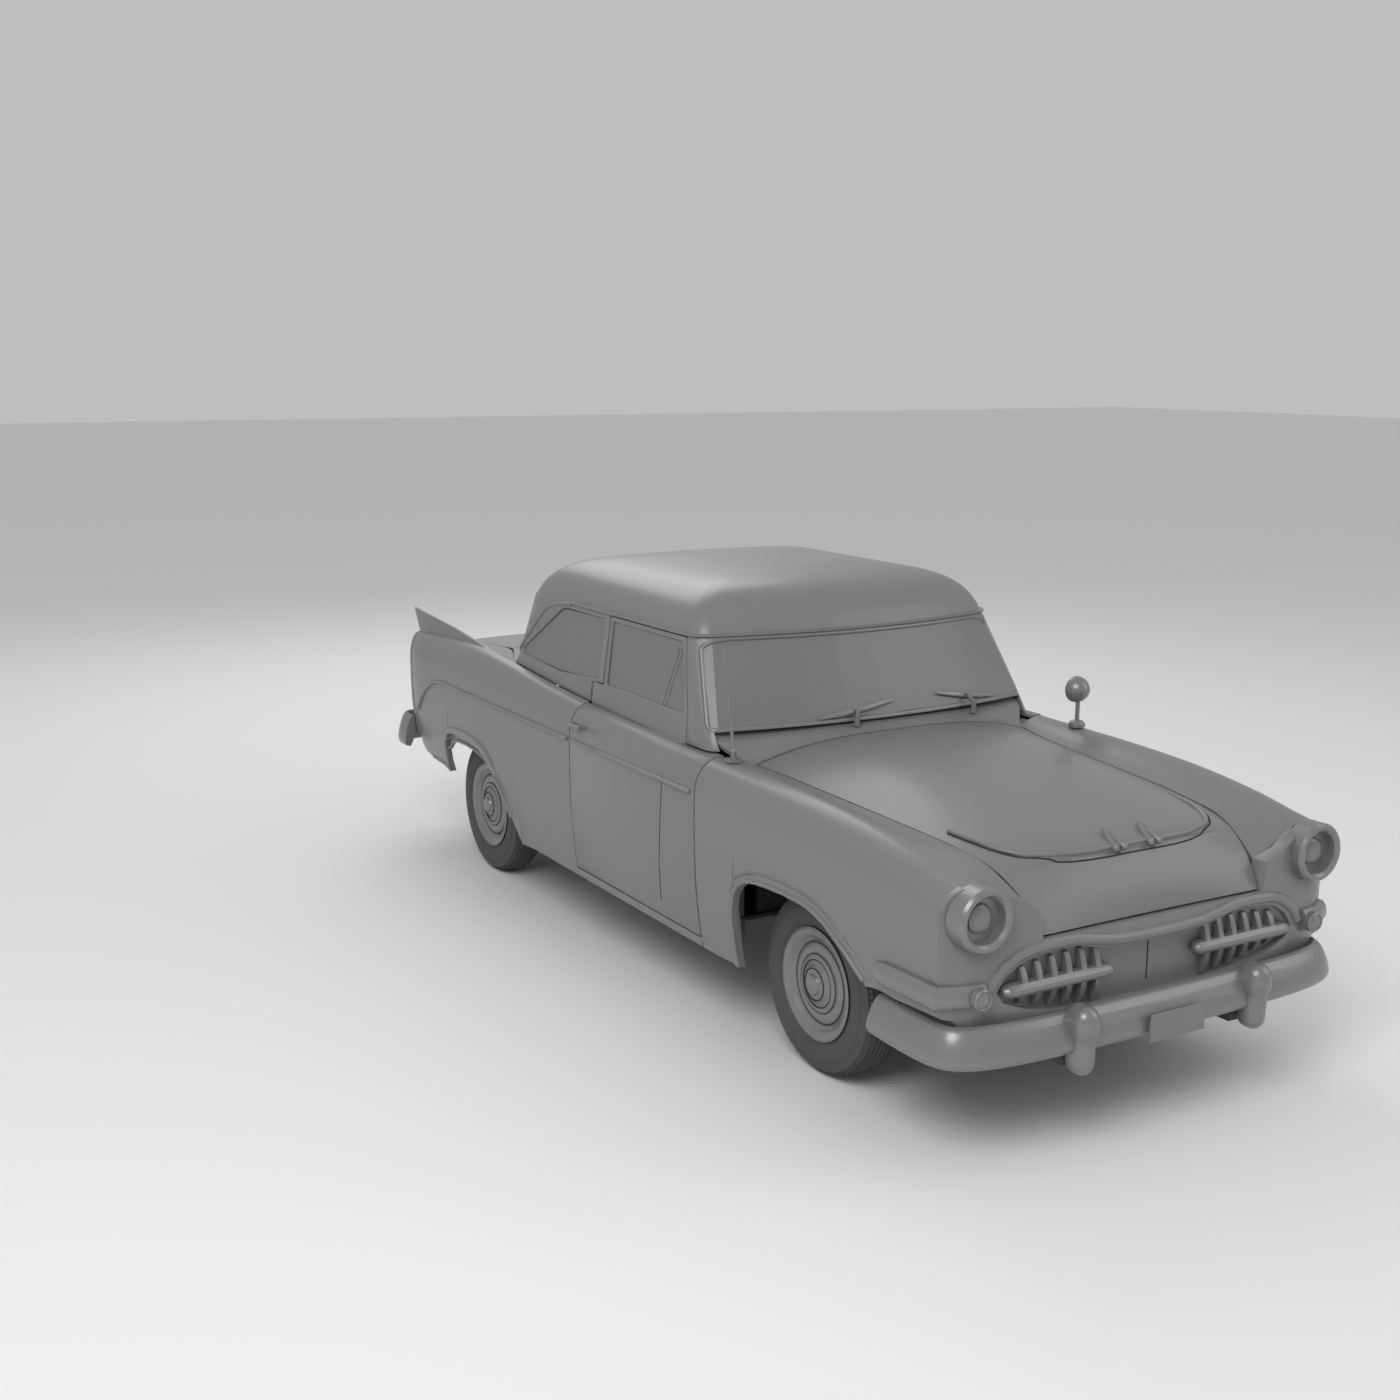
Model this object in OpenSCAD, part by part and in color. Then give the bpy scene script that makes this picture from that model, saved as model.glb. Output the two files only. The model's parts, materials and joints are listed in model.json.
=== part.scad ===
// Two-door sedan of the 1950s, built as an assembly of separate pieces.
// Front of the car faces -Y, its left side is +X, up is +Z, ground at Z = 0.
// Stations (s) run back from the front axle; the frame's y is station() of them.

/* [Overall] */
// Length over both bumpers
overall_length = 4930; // [4860:10:5000]
// Front axle to rear axle
wheelbase = 2896; // [2860:4:2960]
// Front bumper face to front axle
front_overhang = 1010; // [1010:2:1030]
// Width over the doors
body_width = 1816; // [1796:4:1830]
// Height of the roof's crown
overall_height = 1680; // [1650:5:1710]

/* [Wheels] */
// Tyre diameter
tyre_d = 676; // [664:2:684]
// Tyre width over the sidewalls
tyre_w = 166; // [156:2:170]
// Centre to centre of the tyres, across the car
track = 1390; // [1380:2:1400]
// Rim seat diameter
rim_d = 384; // [376:2:392]
// Wheel spindle diameter
spindle_d = 40; // [34:1:44]
// Distance between the two kingpins
kingpin_track = 1220; // [1210:2:1230]
// Kingpin diameter
kingpin_d = 24; // [20:1:26]
// Running clearance of pins and spindles, all round
pin_play = 0.1; // [0.05:0.05:0.2]

/* [Body] */
// Underside of the rocker panels
rocker_z = 300; // [290:2:310]
// Underside of the doors
door_bottom_z = 345; // [342:1:352]
// Station of the door's front edge
door_front = 638; // [634:2:646]
// Station of the door's rear edge
door_rear = 1706; // [1700:2:1716]
// Gap around doors and lids
panel_gap = 7; // [6.5:0.5:8]
// Thickness of a door below its window
door_t = 70; // [60:2:76]
// Thickness of fenders and quarters
skin_t = 16; // [12:1:20]
// Seat gap between fixed panels
seam = 0.3; // [0.2:0.1:0.5]
// Gap behind the hood
hood_gap = 14; // [14:0.5:16]
// How far the wheel-arch lips stand out
lip_h = 11; // [8:1:14]
// Width of the wheel-arch lips
lip_w = 30; // [26:1:34]
// Height of the fins over the quarters
fin_h = 118; // [90:2:130]

/* [Cabin] */
// Height of the window sills
sill_z = 1168; // [1162:2:1174]
// Height of the drip rail between sill and roof, as a share
drip_share = 0.59; // [0.58:0.005:0.6]
// Thickness of pillars and roof
cab_t = 28; // [24:1:32]
// Glass thickness
glass_t = 6; // [5:0.5:8]
// Steering wheel diameter
steering_wheel_d = 420; // [380:10:440]

/* [Lamps and bumpers] */
// Headlamp bezel diameter
headlamp_d = 214; // [200:2:220]
// Height of the headlamps
headlamp_z = 840; // [836:1:846]
// Distance of a headlamp from the middle
headlamp_x = 759; // [752:1:764]
// Parking lamp diameter
parking_d = 74; // [66:2:80]
// Height of the front bumper's lower edge
bumper_z = 358; // [354:1:362]
// Height of the front bumper's blade
bumper_h = 132; // [124:2:136]

/* [Grille] */
// Teeth above and below each grille bar
teeth = 6; // [4:1:7]
// Depth of the grille's recess
grille_depth = 44; // [40:1:50]

/* [Hinges] */
// Diameter of the hinge pins
hinge_pin_d = 12; // [10:1:12]
// Width of the hinge arms
arm_w = 16; // [14:1:18]
// Gap in front of the doors
hinge_gap = 8.5; // [8.5:0.5:10]

/* [Mounts] */
// Spacing of the plate's two screw holes
plate_pitch = 178; // [170:1:184]
// Diameter of the plate's screw holes
plate_hole_d = 7; // [6:0.5:8]
// Diameter of the towing eyes' bores
tow_d = 30; // [24:1:34]
// Diameter of the steering shaft
shaft_d = 22; // [18:1:26]

/* [Hidden] */
eps = 0.01;
big = 6000;
front_axle_y = -overall_length / 2 + front_overhang;
rear_axle = wheelbase;
tail = wheelbase + 800;
half = body_width / 2;
gutter_z = sill_z + (overall_height - sill_z) * drip_share;
wheel_z = tyre_d / 2;
wheel_x = track / 2;
kingpin_x = kingpin_track / 2;
rail_x = 385;
rail_w = 70;
rail_front = -912;
rail_z = 290;
rail_h = 110;
floor_z = rail_z + rail_h;
floor_t = 15;
trunk_x = half - 318;
trunk_z = 575;
heel_s = rear_axle - 716;
dash_wall_x = half - 268;
sill_in = half - 162;
nose_seam = -820;
hood_rear = 560;
lid_front = 2860;
split_z = 1128;
band_z = 1046;
blade_t = 72;
bracket_x = 124;
bracket_z = 396;
bracket_s = front_overhang - 6;
bracket_t = 6;
rail_t = 9;
rail_end = 2000;
tow_s = -880;
door_hinge_x = half - 26;
door_hinge_s = door_front + 100;
door_hinge_z = [650, 870];
hood_hinge_x = 220;
hood_hinge_s = 598;
hood_hinge_z = 1062;
lid_hinge_x = 300;
lid_hinge_s = lid_front - 100;
lid_hinge_z = 1118;
eye_d = hinge_pin_d + 12;
hinge_h = 30;
pocket_h = 44;
hinge_bore = hinge_pin_d + 2 * pin_play;
fin_lean = 0.8;
spear_z = 922;
spear_r = 7;

function station(s) = s + front_axle_y;
function lerp(a, b, t) = a + (b - a) * t;
function row_of(tab, s, i = 0) = (i >= len(tab) - 2 || s < tab[i + 1][0]) ? i : row_of(tab, s, i + 1);
function rise(tab, i, k) = let (a = max(i - 1, 0), b = min(i + 1, len(tab) - 1))
    (tab[b][k] - tab[a][k]) / (tab[b][0] - tab[a][0]);
// Smooth value of column k of a table at station s
function at(tab, s, k) = let (
    i = row_of(tab, s),
    h = tab[i + 1][0] - tab[i][0],
    t = min(max((s - tab[i][0]) / h, 0), 1),
    a = tab[i][k],
    b = tab[i + 1][k],
    ma = rise(tab, i, k) * h,
    mb = rise(tab, i + 1, k) * h
) a + t * ma + t * t * (3 * (b - a) - 2 * ma - mb) + t * t * t * (2 * (a - b) + ma + mb);
// Straight value between the rows of a table
function straight(tab, s, k) = let (i = row_of(tab, s), h = tab[i + 1][0] - tab[i][0])
    lerp(tab[i][k], tab[i + 1][k], min(max((s - tab[i][0]) / h, 0), 1));

// Side skin, one row a station: s, half width, lower edge, middle of the shoulder, shoulder width,
// shoulder height, inner edge x, inner edge z, tuck at the lower edge
HALF = 1;
BOT = 2;
SIDE = 3;
SHW = 4;
SHH = 5;
INX = 6;
INZ = 7;
TUCK = 8;
skin = [
    [nose_seam, half - 28, 512, 830, 105, 112, half - 388, 834, 16],
    [-700, half - 23, 508, 846, 108, 118, half - 362, 908, 18],
    [-600, half - 18, 503, 860, 110, 124, half - 346, 944, 20],
    [-452, half - 13, 501, 875, 113, 131, half - 328, 960, 25],
    [-300, half - 9, 400, 888, 116, 136, half - 312, 972, 30],
    [0, half - 3, 330, 905, 120, 137, half - 292, 988, 45],
    [480, half, rocker_z, 920, 118, 132, half - 252, 1014, 45],
    [door_front, half, rocker_z, 924, 108, 128, half - 208, 1026, 45],
    [door_front + 200, half, rocker_z, 928, 104, 124, half - 102, 1047, 45],
    [1206, half, rocker_z, 938, 103, 128, half - 102, 1060, 45],
    [door_rear, half, rocker_z, 950, 100, 130, half - 102, 1077, 45],
    [2100, half - 3, rocker_z, 964, 98, 136, half - 103, 1097, 45],
    [rear_axle - 400, half - 8, rocker_z, 985, 94, 145, half - 110, 1126, 45],
    [rear_axle - 40, half - 12, 380, 1000, 92, 148, half - 256, 1130, 50],
    [rear_axle + 80, half - 15, 405, 999, 91, 147, half - 258, 1122, 51],
    [rear_axle + 340, half - 22, 455, 992, 88, 144, half - 260, 1100, 55],
    [tail - 40, half - 36, 470, 976, 62, 138, half - 262, 1054, 60],
    [tail, half - 52, 475, 972, 54, 136, half - 262, 1044, 60],
];

// Wheel arches, measured from their axle: distance back, height of the edge
front_arch = [
    [-452, 502], [-360, 590], [-235, 664], [-130, 692], [0, 697], [130, 692], [230, 680], [302, 646],
        [340, 588],
    [352, 500],
];
rear_arch = [
    [-600, 312], [-420, 520], [-300, 622], [-200, 668], [-90, 688], [60, 690], [180, 684], [252, 664],
        [298, 612],
    [314, 540],
];

function in_arch(tab, d) = d >= tab[0][0] && d <= tab[len(tab) - 1][0];
function edge_z(s) = in_arch(front_arch, s) ? straight(front_arch, s, 1)
    : in_arch(rear_arch, s - rear_axle) ? straight(rear_arch, s - rear_axle, 1) : at(skin, s, BOT);
// Distance from a point to a straight piece
function to_piece(p, a, b) = let (d = b - a, t = min(max(((p - a) * d) / (d * d), 0), 1))
    norm(p - a - d * t);
function to_arch(tab, p) = let (last = tab[len(tab) - 1]) min(concat(
    [for (i = [0 : len(tab) - 2]) to_piece(p, tab[i], tab[i + 1])], [to_piece(p, last, [last[0], 0])]));
function lip(s, z) = min(to_arch(front_arch, [s, z]),
    to_arch(rear_arch, [s - rear_axle, z])) < lip_w + 2 ? lip_h : 0;
function side_x(s, z) = let (b = at(skin, s, BOT), c = at(skin, s, SIDE))
    at(skin, s, HALF) - at(skin, s, TUCK) * pow(max((c - z) / (c - b), 0), 3.5);

low_steps = 3;
turn_steps = 5;
in_steps = 3;
// One section of the skin, t inside the surface, from its lower edge to its inner edge
function section(s, z0, t, fin, turn = 90) = let (
    c = at(skin, s, SIDE),
    rx = at(skin, s, SHW),
    rz = at(skin, s, SHH),
    xc = at(skin, s, HALF) - rx,
    ix = at(skin, s, INX),
    iz = at(skin, s, INZ),
    hs = concat([z0, z0 + lip_w, z0 + lip_w + 7],
        [for (k = [1 : low_steps]) lerp(z0 + lip_w + 7, c, k / low_steps)])
) concat(
    [for (z = hs) [side_x(s, z) - t + (t > 0 ? 0 : lip(s, z)), station(s), z]],
    [for (k = [1 : turn_steps]) let (a = turn * k / turn_steps) [xc + (rx - t) * cos(a), station(s),
        c + (rz - t) * sin(a)]],
    fin < 0 ? [] : [for (f = [[-1, 0], [-6, 1], [-18, 1], [-28, 0]])
        [xc + f[0] * fin_foot(s), station(s) + (t > 0 ? 0 : f[1] * fin * fin_lean),
            c + rz - t + (t > 0 ? f[1] * min(fin * 0.9, t) : f[1] * fin + 0.4)]],
    turn < 90 ? [] : [for (k = [1 : in_steps]) let (u = k / in_steps, v = u * u * (3 - 2 * u))
        [lerp(xc - (fin < 0 ? 0 : 30 * fin_foot(s)), min(ix, xc - 2), u), station(s),
            lerp(c + rz, iz, v) - t]]
);
function fin_foot(s) = min(max((s - rear_axle + 300) / 280, 0.02), 1);
function crest(s) = at(skin, s, SIDE) + at(skin, s, SHH);
// Half width of the skin at any height
function skin_x(s, z) = let (c = at(skin, s, SIDE), rx = at(skin, s, SHW), h = (z - c) / at(skin, s, SHH))
    h <= 0 ? side_x(s, z) : at(skin, s, HALF) - rx + rx * sqrt(max(1 - h * h, 0));

// A closed wall from an outer and an inner grid of points
module wall(outer, inner) {
    n = len(outer);
    m = len(outer[0]);
    o = n * m;
    points = concat([for (r = outer) each r], [for (r = inner) each r]);
    faces = concat(
        [for (i = [0 : n - 2], j = [0 : m - 2]) each let (a = i * m + j) [[a, a + 1, a + m],
            [a + 1, a + m + 1, a + m]]],
        [for (i = [0 : n - 2], j = [0 : m - 2]) each let (a = o + i * m + j) [[a, a + m, a + 1],
            [a + 1, a + m, a + m + 1]]],
        [for (i = [0 : n - 2]) each let (a = i * m, b = a + o) [[a, a + m, b], [a + m, b + m, b]]],
        [for (i = [0 : n - 2]) each let (a = i * m + m - 1, b = a + o) [[a, b, a + m], [a + m, b, b + m]]],
        [for (j = [0 : m - 2]) each let (a = j, b = a + o) [[a, b, a + 1], [a + 1, b, b + 1]]],
        [for (j = [0 : m - 2]) each let (a = (n - 1) * m + j, b = a + o) [[a, a + 1, b], [a + 1, b + 1, b]]]
    );
    polyhedron(points, faces);
}

// A solid through closed rings of points
module loft(rings) {
    n = len(rings);
    m = len(rings[0]);
    polyhedron(
        [for (r = rings) each r],
        concat(
            [for (i = [0 : n - 2], j = [0 : m - 1]) each
                let (a = i * m + j, b = i * m + (j + 1) % m) [[a, b, a + m], [b, b + m, a + m]]],
            [[for (j = [m - 1 : -1 : 0]) j]],
            [[for (j = [0 : m - 1]) (n - 1) * m + j]]
        )
    );
}

module both() {
    children();
    mirror([1, 0, 0]) children();
}

// A box from station, side and height limits
module block(x, s, z) {
    translate([x[0], station(s[0]), z[0]]) cube([x[1] - x[0], s[1] - s[0], z[1] - z[0]]);
}

// A prism across the car from a side view outline
module across(outline, x0, x1) {
    translate([x0, 0, 0]) rotate([90, 0, 90]) linear_extrude(x1 - x0)
        polygon([for (p = outline) [station(p[0]), p[1]]]);
}

// A prism along the car from a front view outline
module along(outline, s0, s1) {
    translate([0, station(s1), 0]) rotate([90, 0, 0]) linear_extrude(s1 - s0) polygon(outline);
}

// Outline of a strip of width w along a path
function side_of(p, i) = let (d = p[min(i + 1, len(p) - 1)] - p[max(i - 1, 0)]) [-d[1], d[0]] / norm(d);
function ribbon(p, w) = concat([for (i = [0 : len(p) - 1]) p[i] + side_of(p, i) * w / 2],
    [for (i = [len(p) - 1 : -1 : 0]) p[i] - side_of(p, i) * w / 2]);

// Curved hinge arm on both sides, with the bore of its pin at the start of the path
module hinge_arms(path, x) {
    both() difference() {
        union() {
            across(ribbon(path, arm_w), x - arm_w / 2, x + arm_w / 2);
            bar_x(eye_d, x - arm_w / 2, x + arm_w / 2, path[0][0], path[0][1]);
        }
        bar_x(hinge_bore, x - arm_w, x + arm_w, path[0][0], path[0][1]);
    }
}

// A round bar across, along or up
module bar_x(d, x0, x1, s, z) {
    translate([x0, station(s), z]) rotate([0, 90, 0]) cylinder(d = d, h = x1 - x0, $fn = 48);
}

module bar_y(d, s0, s1, x, z) {
    translate([x, station(s0), z]) rotate([-90, 0, 0]) cylinder(d = d, h = s1 - s0, $fn = 48);
}

module bar_z(d, z0, z1, x, s) {
    translate([x, station(s), z0]) cylinder(d = d, h = z1 - z0, $fn = 48);
}

// A side panel between two stations
module panel(stops, t, foot, fins, turn = 90) {
    wall([for (s = stops) section(s, foot > 0 ? foot : edge_z(s), 0, fins ? fin_at(s) : -1, turn)],
        [for (s = stops) section(s, foot > 0 ? foot : edge_z(s), t, fins ? fin_at(s) : -1, turn)]);
}

function fin_at(s) = max(s - rear_axle + 32, 0) / (tail - rear_axle + 32) * fin_h;
function stops(a, b, n) = [for (k = [0 : n]) lerp(a, b, k / n)];

fender_stops = concat(stops(nose_seam + seam, -480, 8), [-453], [for (p = front_arch) p[0]],
    [353, 353 + lip_w, 391],
    stops(440, door_front - hinge_gap, 3));
quarter_stops = concat(stops(door_rear + panel_gap / 2, rear_axle - 640, 5), [rear_axle - 602],
    [for (p = rear_arch) rear_axle + p[0]], [rear_axle + 315, rear_axle + 315 + lip_w, rear_axle + 353],
    stops(rear_axle + 440, tail, 4));

// Cabin rings, one row a level: z, half width, front corner, front bow, rear corner, rear bow,
// front and rear corner radius
cab_rows = [
    [band_z, half - 102, 668, 74, 2620, 40, 60, 60],
    [sill_z, half - 114, 730, 85, 2530, 55, 75, 90],
    [gutter_z, half - 160, 893, 92, 2500, 62, 115, 180],
];
// Roof above the drip rail: share of the height, share of the plan, share of its length behind the middle
roof_rows = [[0, 1, 1], [0.30, 0.965, 0.965], [0.56, 0.905, 0.89], [0.77, 0.81, 0.77], [0.91, 0.66, 0.57],
    [1, 0.36, 0.24]];
roof_mid = 1560;

function roof_ring(k) = let (g = cab_rows[2], f = roof_rows[k][1]) [
    lerp(gutter_z, overall_height, roof_rows[k][0]), g[1] * f, lerp(roof_mid, g[2], f), g[3] * f,
    lerp(roof_mid, g[4], roof_rows[k][2]), g[5] * f, g[6] * f, g[7] * f
];
bow_steps = 4;
corner_steps = 4;
// Plan outline of one row, t inside it
function outline(r, t) = let (w = r[1] - t, c = r[6], e = r[7], f = r[2] + t, b = r[4] - t) concat(
    [for (k = [-bow_steps : bow_steps]) let (u = k / bow_steps) [u * (w - c),
        station(f - r[3] * (1 - u * u))]],
    [for (k = [1 : corner_steps]) let (a = 90 * k / corner_steps) [w - c + c * sin(a),
        station(f + c - c * cos(a))]],
    [for (k = [0 : corner_steps]) let (a = 90 * k / corner_steps) [w - e + e * cos(a),
        station(b - e + e * sin(a))]],
    [for (k = [bow_steps - 1 : -1 : -bow_steps + 1]) let (u = k / bow_steps)
        [u * (w - e), station(b + r[5] * (1 - u * u))]],
    [for (k = [0 : corner_steps]) let (a = 90 * k / corner_steps) [e - w - e * sin(a),
        station(b - e + e * cos(a))]],
    [for (k = [0 : corner_steps - 1]) let (a = 90 * k / corner_steps) [c - w - c * cos(a),
        station(f + c - c * sin(a))]]
);

// Solid between two rings
module slab(a, b, t, drop) {
    hull() {
        translate([0, 0, a[0] - drop]) linear_extrude(eps) polygon(outline(a, t));
        translate([0, 0, b[0] - drop]) linear_extrude(eps) polygon(outline(b, t));
    }
}

module cab_solid(t) {
    for (k = [0 : 1]) slab(cab_rows[k], cab_rows[k + 1], t, 0);
}

module roof_solid(t) {
    for (k = [0 : len(roof_rows) - 2]) slab(roof_ring(k), roof_ring(k + 1), t, t);
}

// Side view outlines: station, height
door_upper = [
    [882, band_z - 1], [882, sill_z], [978, gutter_z - panel_gap], [1605, gutter_z - panel_gap],
        [1597, sill_z + 2],
    [door_rear - 12, sill_z + 2], [door_rear - 12, band_z - 1],
];
door_opening = [
    [876, band_z - 20], [876, sill_z + 1], [973, gutter_z + 1], [1617, gutter_z + 1], [1609, sill_z + 8],
    [door_rear + panel_gap / 2, sill_z + 8], [door_rear + panel_gap / 2, band_z - 20],
];
door_window = [[918, sill_z + 6, 12], [1004, gutter_z - 32, 12], [1586, gutter_z - 32, 12],
    [1574, sill_z + 10, 12]];
quarter_window = [[1658, sill_z + 22, 12], [1666, gutter_z - 30, 12], [2030, gutter_z - 168, 150],
    [2420, sill_z + 30, 22]];
// The windshield wraps round the corners, so its outline is seen from the side too
screen_window = [[500, split_z + 18, 14], [736, split_z + 34, 30], [880, gutter_z - 43, 30],
    [500, gutter_z - 27, 14]];
// Rear window from behind: x, height, corner radius
rear_screen = [[590, sill_z + 20, 50], [540, gutter_z - 61, 60], [-540, gutter_z - 61, 60],
    [-590, sill_z + 20, 50]];

// Rounded prism across one side from x0 out, shrunk by g
module pane_side(o, g, x0 = 600) {
    hull() for (p = o) translate([x0, station(p[0]), p[1]]) rotate([0, 90, 0])
        cylinder(r = p[2] - g, h = half - x0, $fn = 32);
}

// Rounded prism through the front or the rear, shrunk by g
module pane_end(o, g, s0, s1) {
    hull() for (p = o) translate([p[0], station(s0), p[1]]) rotate([-90, 0, 0])
        cylinder(r = p[2] - g, h = s1 - s0, $fn = 24);
}

module glass_layer() {
    difference() {
        cab_solid(9);
        cab_solid(9 + glass_t);
    }
}

module cab_wall() {
    difference() {
        cab_solid(0);
        translate([0, 0, -1]) cab_solid(cab_t);
        translate([0, 0, 1]) cab_solid(cab_t);
    }
}

module quarter_cut() {
    quarter_line = stops(1620, 2760, 12);
    across(concat([for (s = quarter_line) [s, crest(max(s, door_rear)) + 0.4 + seam]],
        [[2760, 900], [1620, 900]]), -big / 2, big / 2);
}

module pillars() {
    color("grey") difference() {
        cab_wall();
        quarter_cut();
        both() across(door_opening, 500, 1000);
        both() pane_side(quarter_window, 0);
        pane_side(screen_window, 0, -half);
        for (up = [0, 20]) translate([0, 0, up]) pane_end(rear_screen, 0, 2000, 3000);
        block([142 - half, half - 142], [400, 1000], [900, split_z]);
        block([-big / 2, big / 2], [400, 880], [900, band_z + 14]);
        block([-big / 2, big / 2], [400, 660], [900, split_z]);
        block([-big / 2, big / 2], [400, 3000], [gutter_z - seam, gutter_z + 10]);
    }
}

module roof() {
    color("grey") difference() {
        roof_solid(0);
        roof_solid(cab_t);
    }
    color("grey") translate([0, 0, gutter_z]) linear_extrude(rail_t) difference() {
        polygon(outline(cab_rows[2], -rail_t));
        polygon(outline(cab_rows[2], 4));
        translate([-half, station(rail_end)]) square([2 * half, big]);
    }
}

module windshield() {
    color("silver") intersection() {
        glass_layer();
        pane_side(screen_window, seam, -half);
    }
}

module rear_window() {
    color("silver") intersection() {
        glass_layer();
        pane_end(rear_screen, seam, 2000, 3000);
    }
}

module quarter_windows() {
    color("silver") intersection() {
        glass_layer();
        both() pane_side(quarter_window, seam);
    }
}

module door_glass() {
    intersection() {
        glass_layer();
        pane_side(door_window, seam);
    }
}

module door_glass_left() {
    color("silver") door_glass();
}

module door_glass_right() {
    color("silver") mirror([1, 0, 0]) door_glass();
}

module door() {
    difference() {
        intersection() {
            cab_wall();
            across(door_upper, 500, 1000);
        }
        pane_side(door_window, 0);
    }
    difference() {
        panel(stops(door_front, door_rear - panel_gap / 2 - 2, 8), door_t, door_bottom_z, false, 84);
        for (z = door_hinge_z)
            block([700, door_hinge_x + 17], [door_front - 10, door_hinge_s + 18],
            [z - pocket_h / 2, z + pocket_h / 2]);
    }
    for (z = door_hinge_z)
        bar_z(hinge_pin_d, z - pocket_h / 2 - 5, z + pocket_h / 2 + 5, door_hinge_x, door_hinge_s);
    block([half - 136, half - 82], [door_front + 5, 890], [band_z - 6, band_z + 6]);
    block([half - 136, half - 90], [886, door_rear - 16], [986, band_z + 14]);
}

// Post in front of each door, with the arms that hold the hinge pins
module door_posts() {
    color("grey") both() {
        block([sill_in - 30, half - 68], [572, 620], [floor_z + floor_t + seam, 990]);
        for (z = door_hinge_z) difference() {
            union() {
                block([half - 138, half - 138 + arm_w], [610, door_hinge_s + arm_w / 2],
                    [z - hinge_h / 2, z + hinge_h / 2]);
                block([half - 138, door_hinge_x], [door_hinge_s - arm_w / 2, door_hinge_s + arm_w / 2],
                    [z - hinge_h / 2, z + hinge_h / 2]);
                bar_z(eye_d, z - hinge_h / 2, z + hinge_h / 2, door_hinge_x, door_hinge_s);
            }
            bar_z(hinge_bore, z - hinge_h, z + hinge_h, door_hinge_x, door_hinge_s);
        }
    }
}

module door_left() {
    color("grey") door();
}

module door_right() {
    color("grey") mirror([1, 0, 0]) door();
}

// Half-round strip on the side skin
module spear(path) {
    loft([for (i = [0 : len(path) - 1]) let (n = side_of(path, i)) [for (a = [0 : 5]) let (
        w = -90 + 36 * a,
        p = path[i] + n * spear_r * 1.3 * sin(w)
    ) [side_x(p[0], p[1]) + seam + 1.6 * spear_r * cos(w), station(p[0]), p[1]]]]);
}

// Spear on the door and its handle
module door_spear() {
    spear([for (s = stops(door_front + 24, door_rear - 40, 8)) [s, spear_z]]);
    hx = skin_x(door_rear, 996) + seam;
    bar_y(18, door_rear - 150, door_rear - 30, hx + 30, 1000);
    for (s = [door_rear - 140, door_rear - 40]) translate([hx, station(s), 1000]) rotate([0, 90, 0])
        cylinder(d = 16, h = 30, $fn = 24);
}

module door_trim_left() {
    color("silver") door_spear();
}

module door_trim_right() {
    color("silver") mirror([1, 0, 0]) door_spear();
}

module front_fenders() {
    color("grey") both() panel(fender_stops, skin_t, 0, false);
}

module rear_quarters() {
    color("grey") both() {
        panel(quarter_stops, skin_t, 0, true);
        wall([for (s = skirt_stops) skirt_line(s, skin_t - 3)],
            [for (s = skirt_stops) skirt_line(s, skin_t + 7)]);
    }
}

// Recessed skirt inside the rear arch
skirt_stops = stops(rear_axle - 330, rear_axle + 290, 9);
function skirt_line(s, t) = [for (z = [edge_z(s) - 46, edge_z(s) - 6, edge_z(s) + 34]) [side_x(s, z) - t,
    station(s), z]];

// Hood, one row across: s at the middle, z at the middle, half width, z at the edge, bow back at the edge,
// then how far the inner face lies back and down
hood_rows = [
    [hood_rear - 20, 1096, hood_x(hood_rear), hood_z(hood_rear), 20, 0, 14],
    [490, 1095, hood_x(504), hood_z(504), 14, 0, 14],
    [425, 1094, hood_x(437), hood_z(437), 12, 0, 14],
    [300, 1090, hood_x(310), hood_z(310), 10, 0, 14],
    [0, 1072, hood_x(10), hood_z(10), 10, 0, 14],
    [-300, 1042, hood_x(-290), hood_z(-290), 10, 0, 14],
    [-560, 1004, hood_x(-540), hood_z(-540), 20, 2, 14],
    [-690, 980, hood_x(-650), hood_z(-650), 40, 5, 13],
    [-756, 962, hood_x(-694), hood_z(-694), 62, 8, 11],
    [-768, 950, hood_x(-702), hood_z(-702), 66, 12, 6],
    [-766, 934, hood_x(-712), hood_z(-712), 54, 14, 2],
    [-812, 880, hood_x(-776), hood_z(-776), 36, 14, 0],
    [-850, 812, nose_edge(806) - panel_gap, 806, 16, 14, 0],
    [-868, 738, nose_edge(738) - panel_gap, 738, -4, 14, 0],
];
hood_steps = 7;

function hood_x(s) = at(skin, max(s, nose_seam), INX) - panel_gap;
// Inner edge of the nose beside the hood, at a height
function nose_edge(z) = lerp(502, at(skin, nose_seam, INX), (z - 731) / (at(skin, nose_seam, INZ) - 731));
function hood_z(s) = at(skin, max(s, nose_seam), INZ);

function hood_line(r, in) = [for (k = [-hood_steps : hood_steps]) let (u = k / hood_steps,
    e = pow(abs(u), 3)) [
    u * (r[2] - in * 4), station(r[0] + r[4] * u * u + in * r[5]), lerp(r[1], r[3], e) - in * r[6]
]];

// Path of a hinge arm from its pin to the hood: station, height
hood_arm = [[hood_hinge_s, hood_hinge_z], [558, 1011], [510, 1004], [478, 1085]];

module hood_skin() {
    wall([for (r = hood_rows) hood_line(r, 0)], [for (r = hood_rows) hood_line(r, 1)]);
}

module hood() {
    color("grey") {
        hood_skin();
        hinge_arms(hood_arm, hood_hinge_x);
    }
}

// Two jet ornaments on the hood
module hood_ornaments() {
    color("silver") difference() {
        both() for (dx = [-20, 20]) hull() {
            translate([80, station(-690), 996]) sphere(r = 5, $fn = 8);
            translate([80 + dx, station(-778), 950]) sphere(r = 15, $fn = 12);
            translate([80 + dx * 0.6, station(-740), 966]) sphere(r = 12, $fn = 12);
        }
        hood_skin();
        both() across(concat([for (k = [6 : 11]) [hood_rows[k][0] + 8, hood_rows[k][1] - 5]],
            [[-560, 880]]), 20, 140);
    }
}

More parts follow.
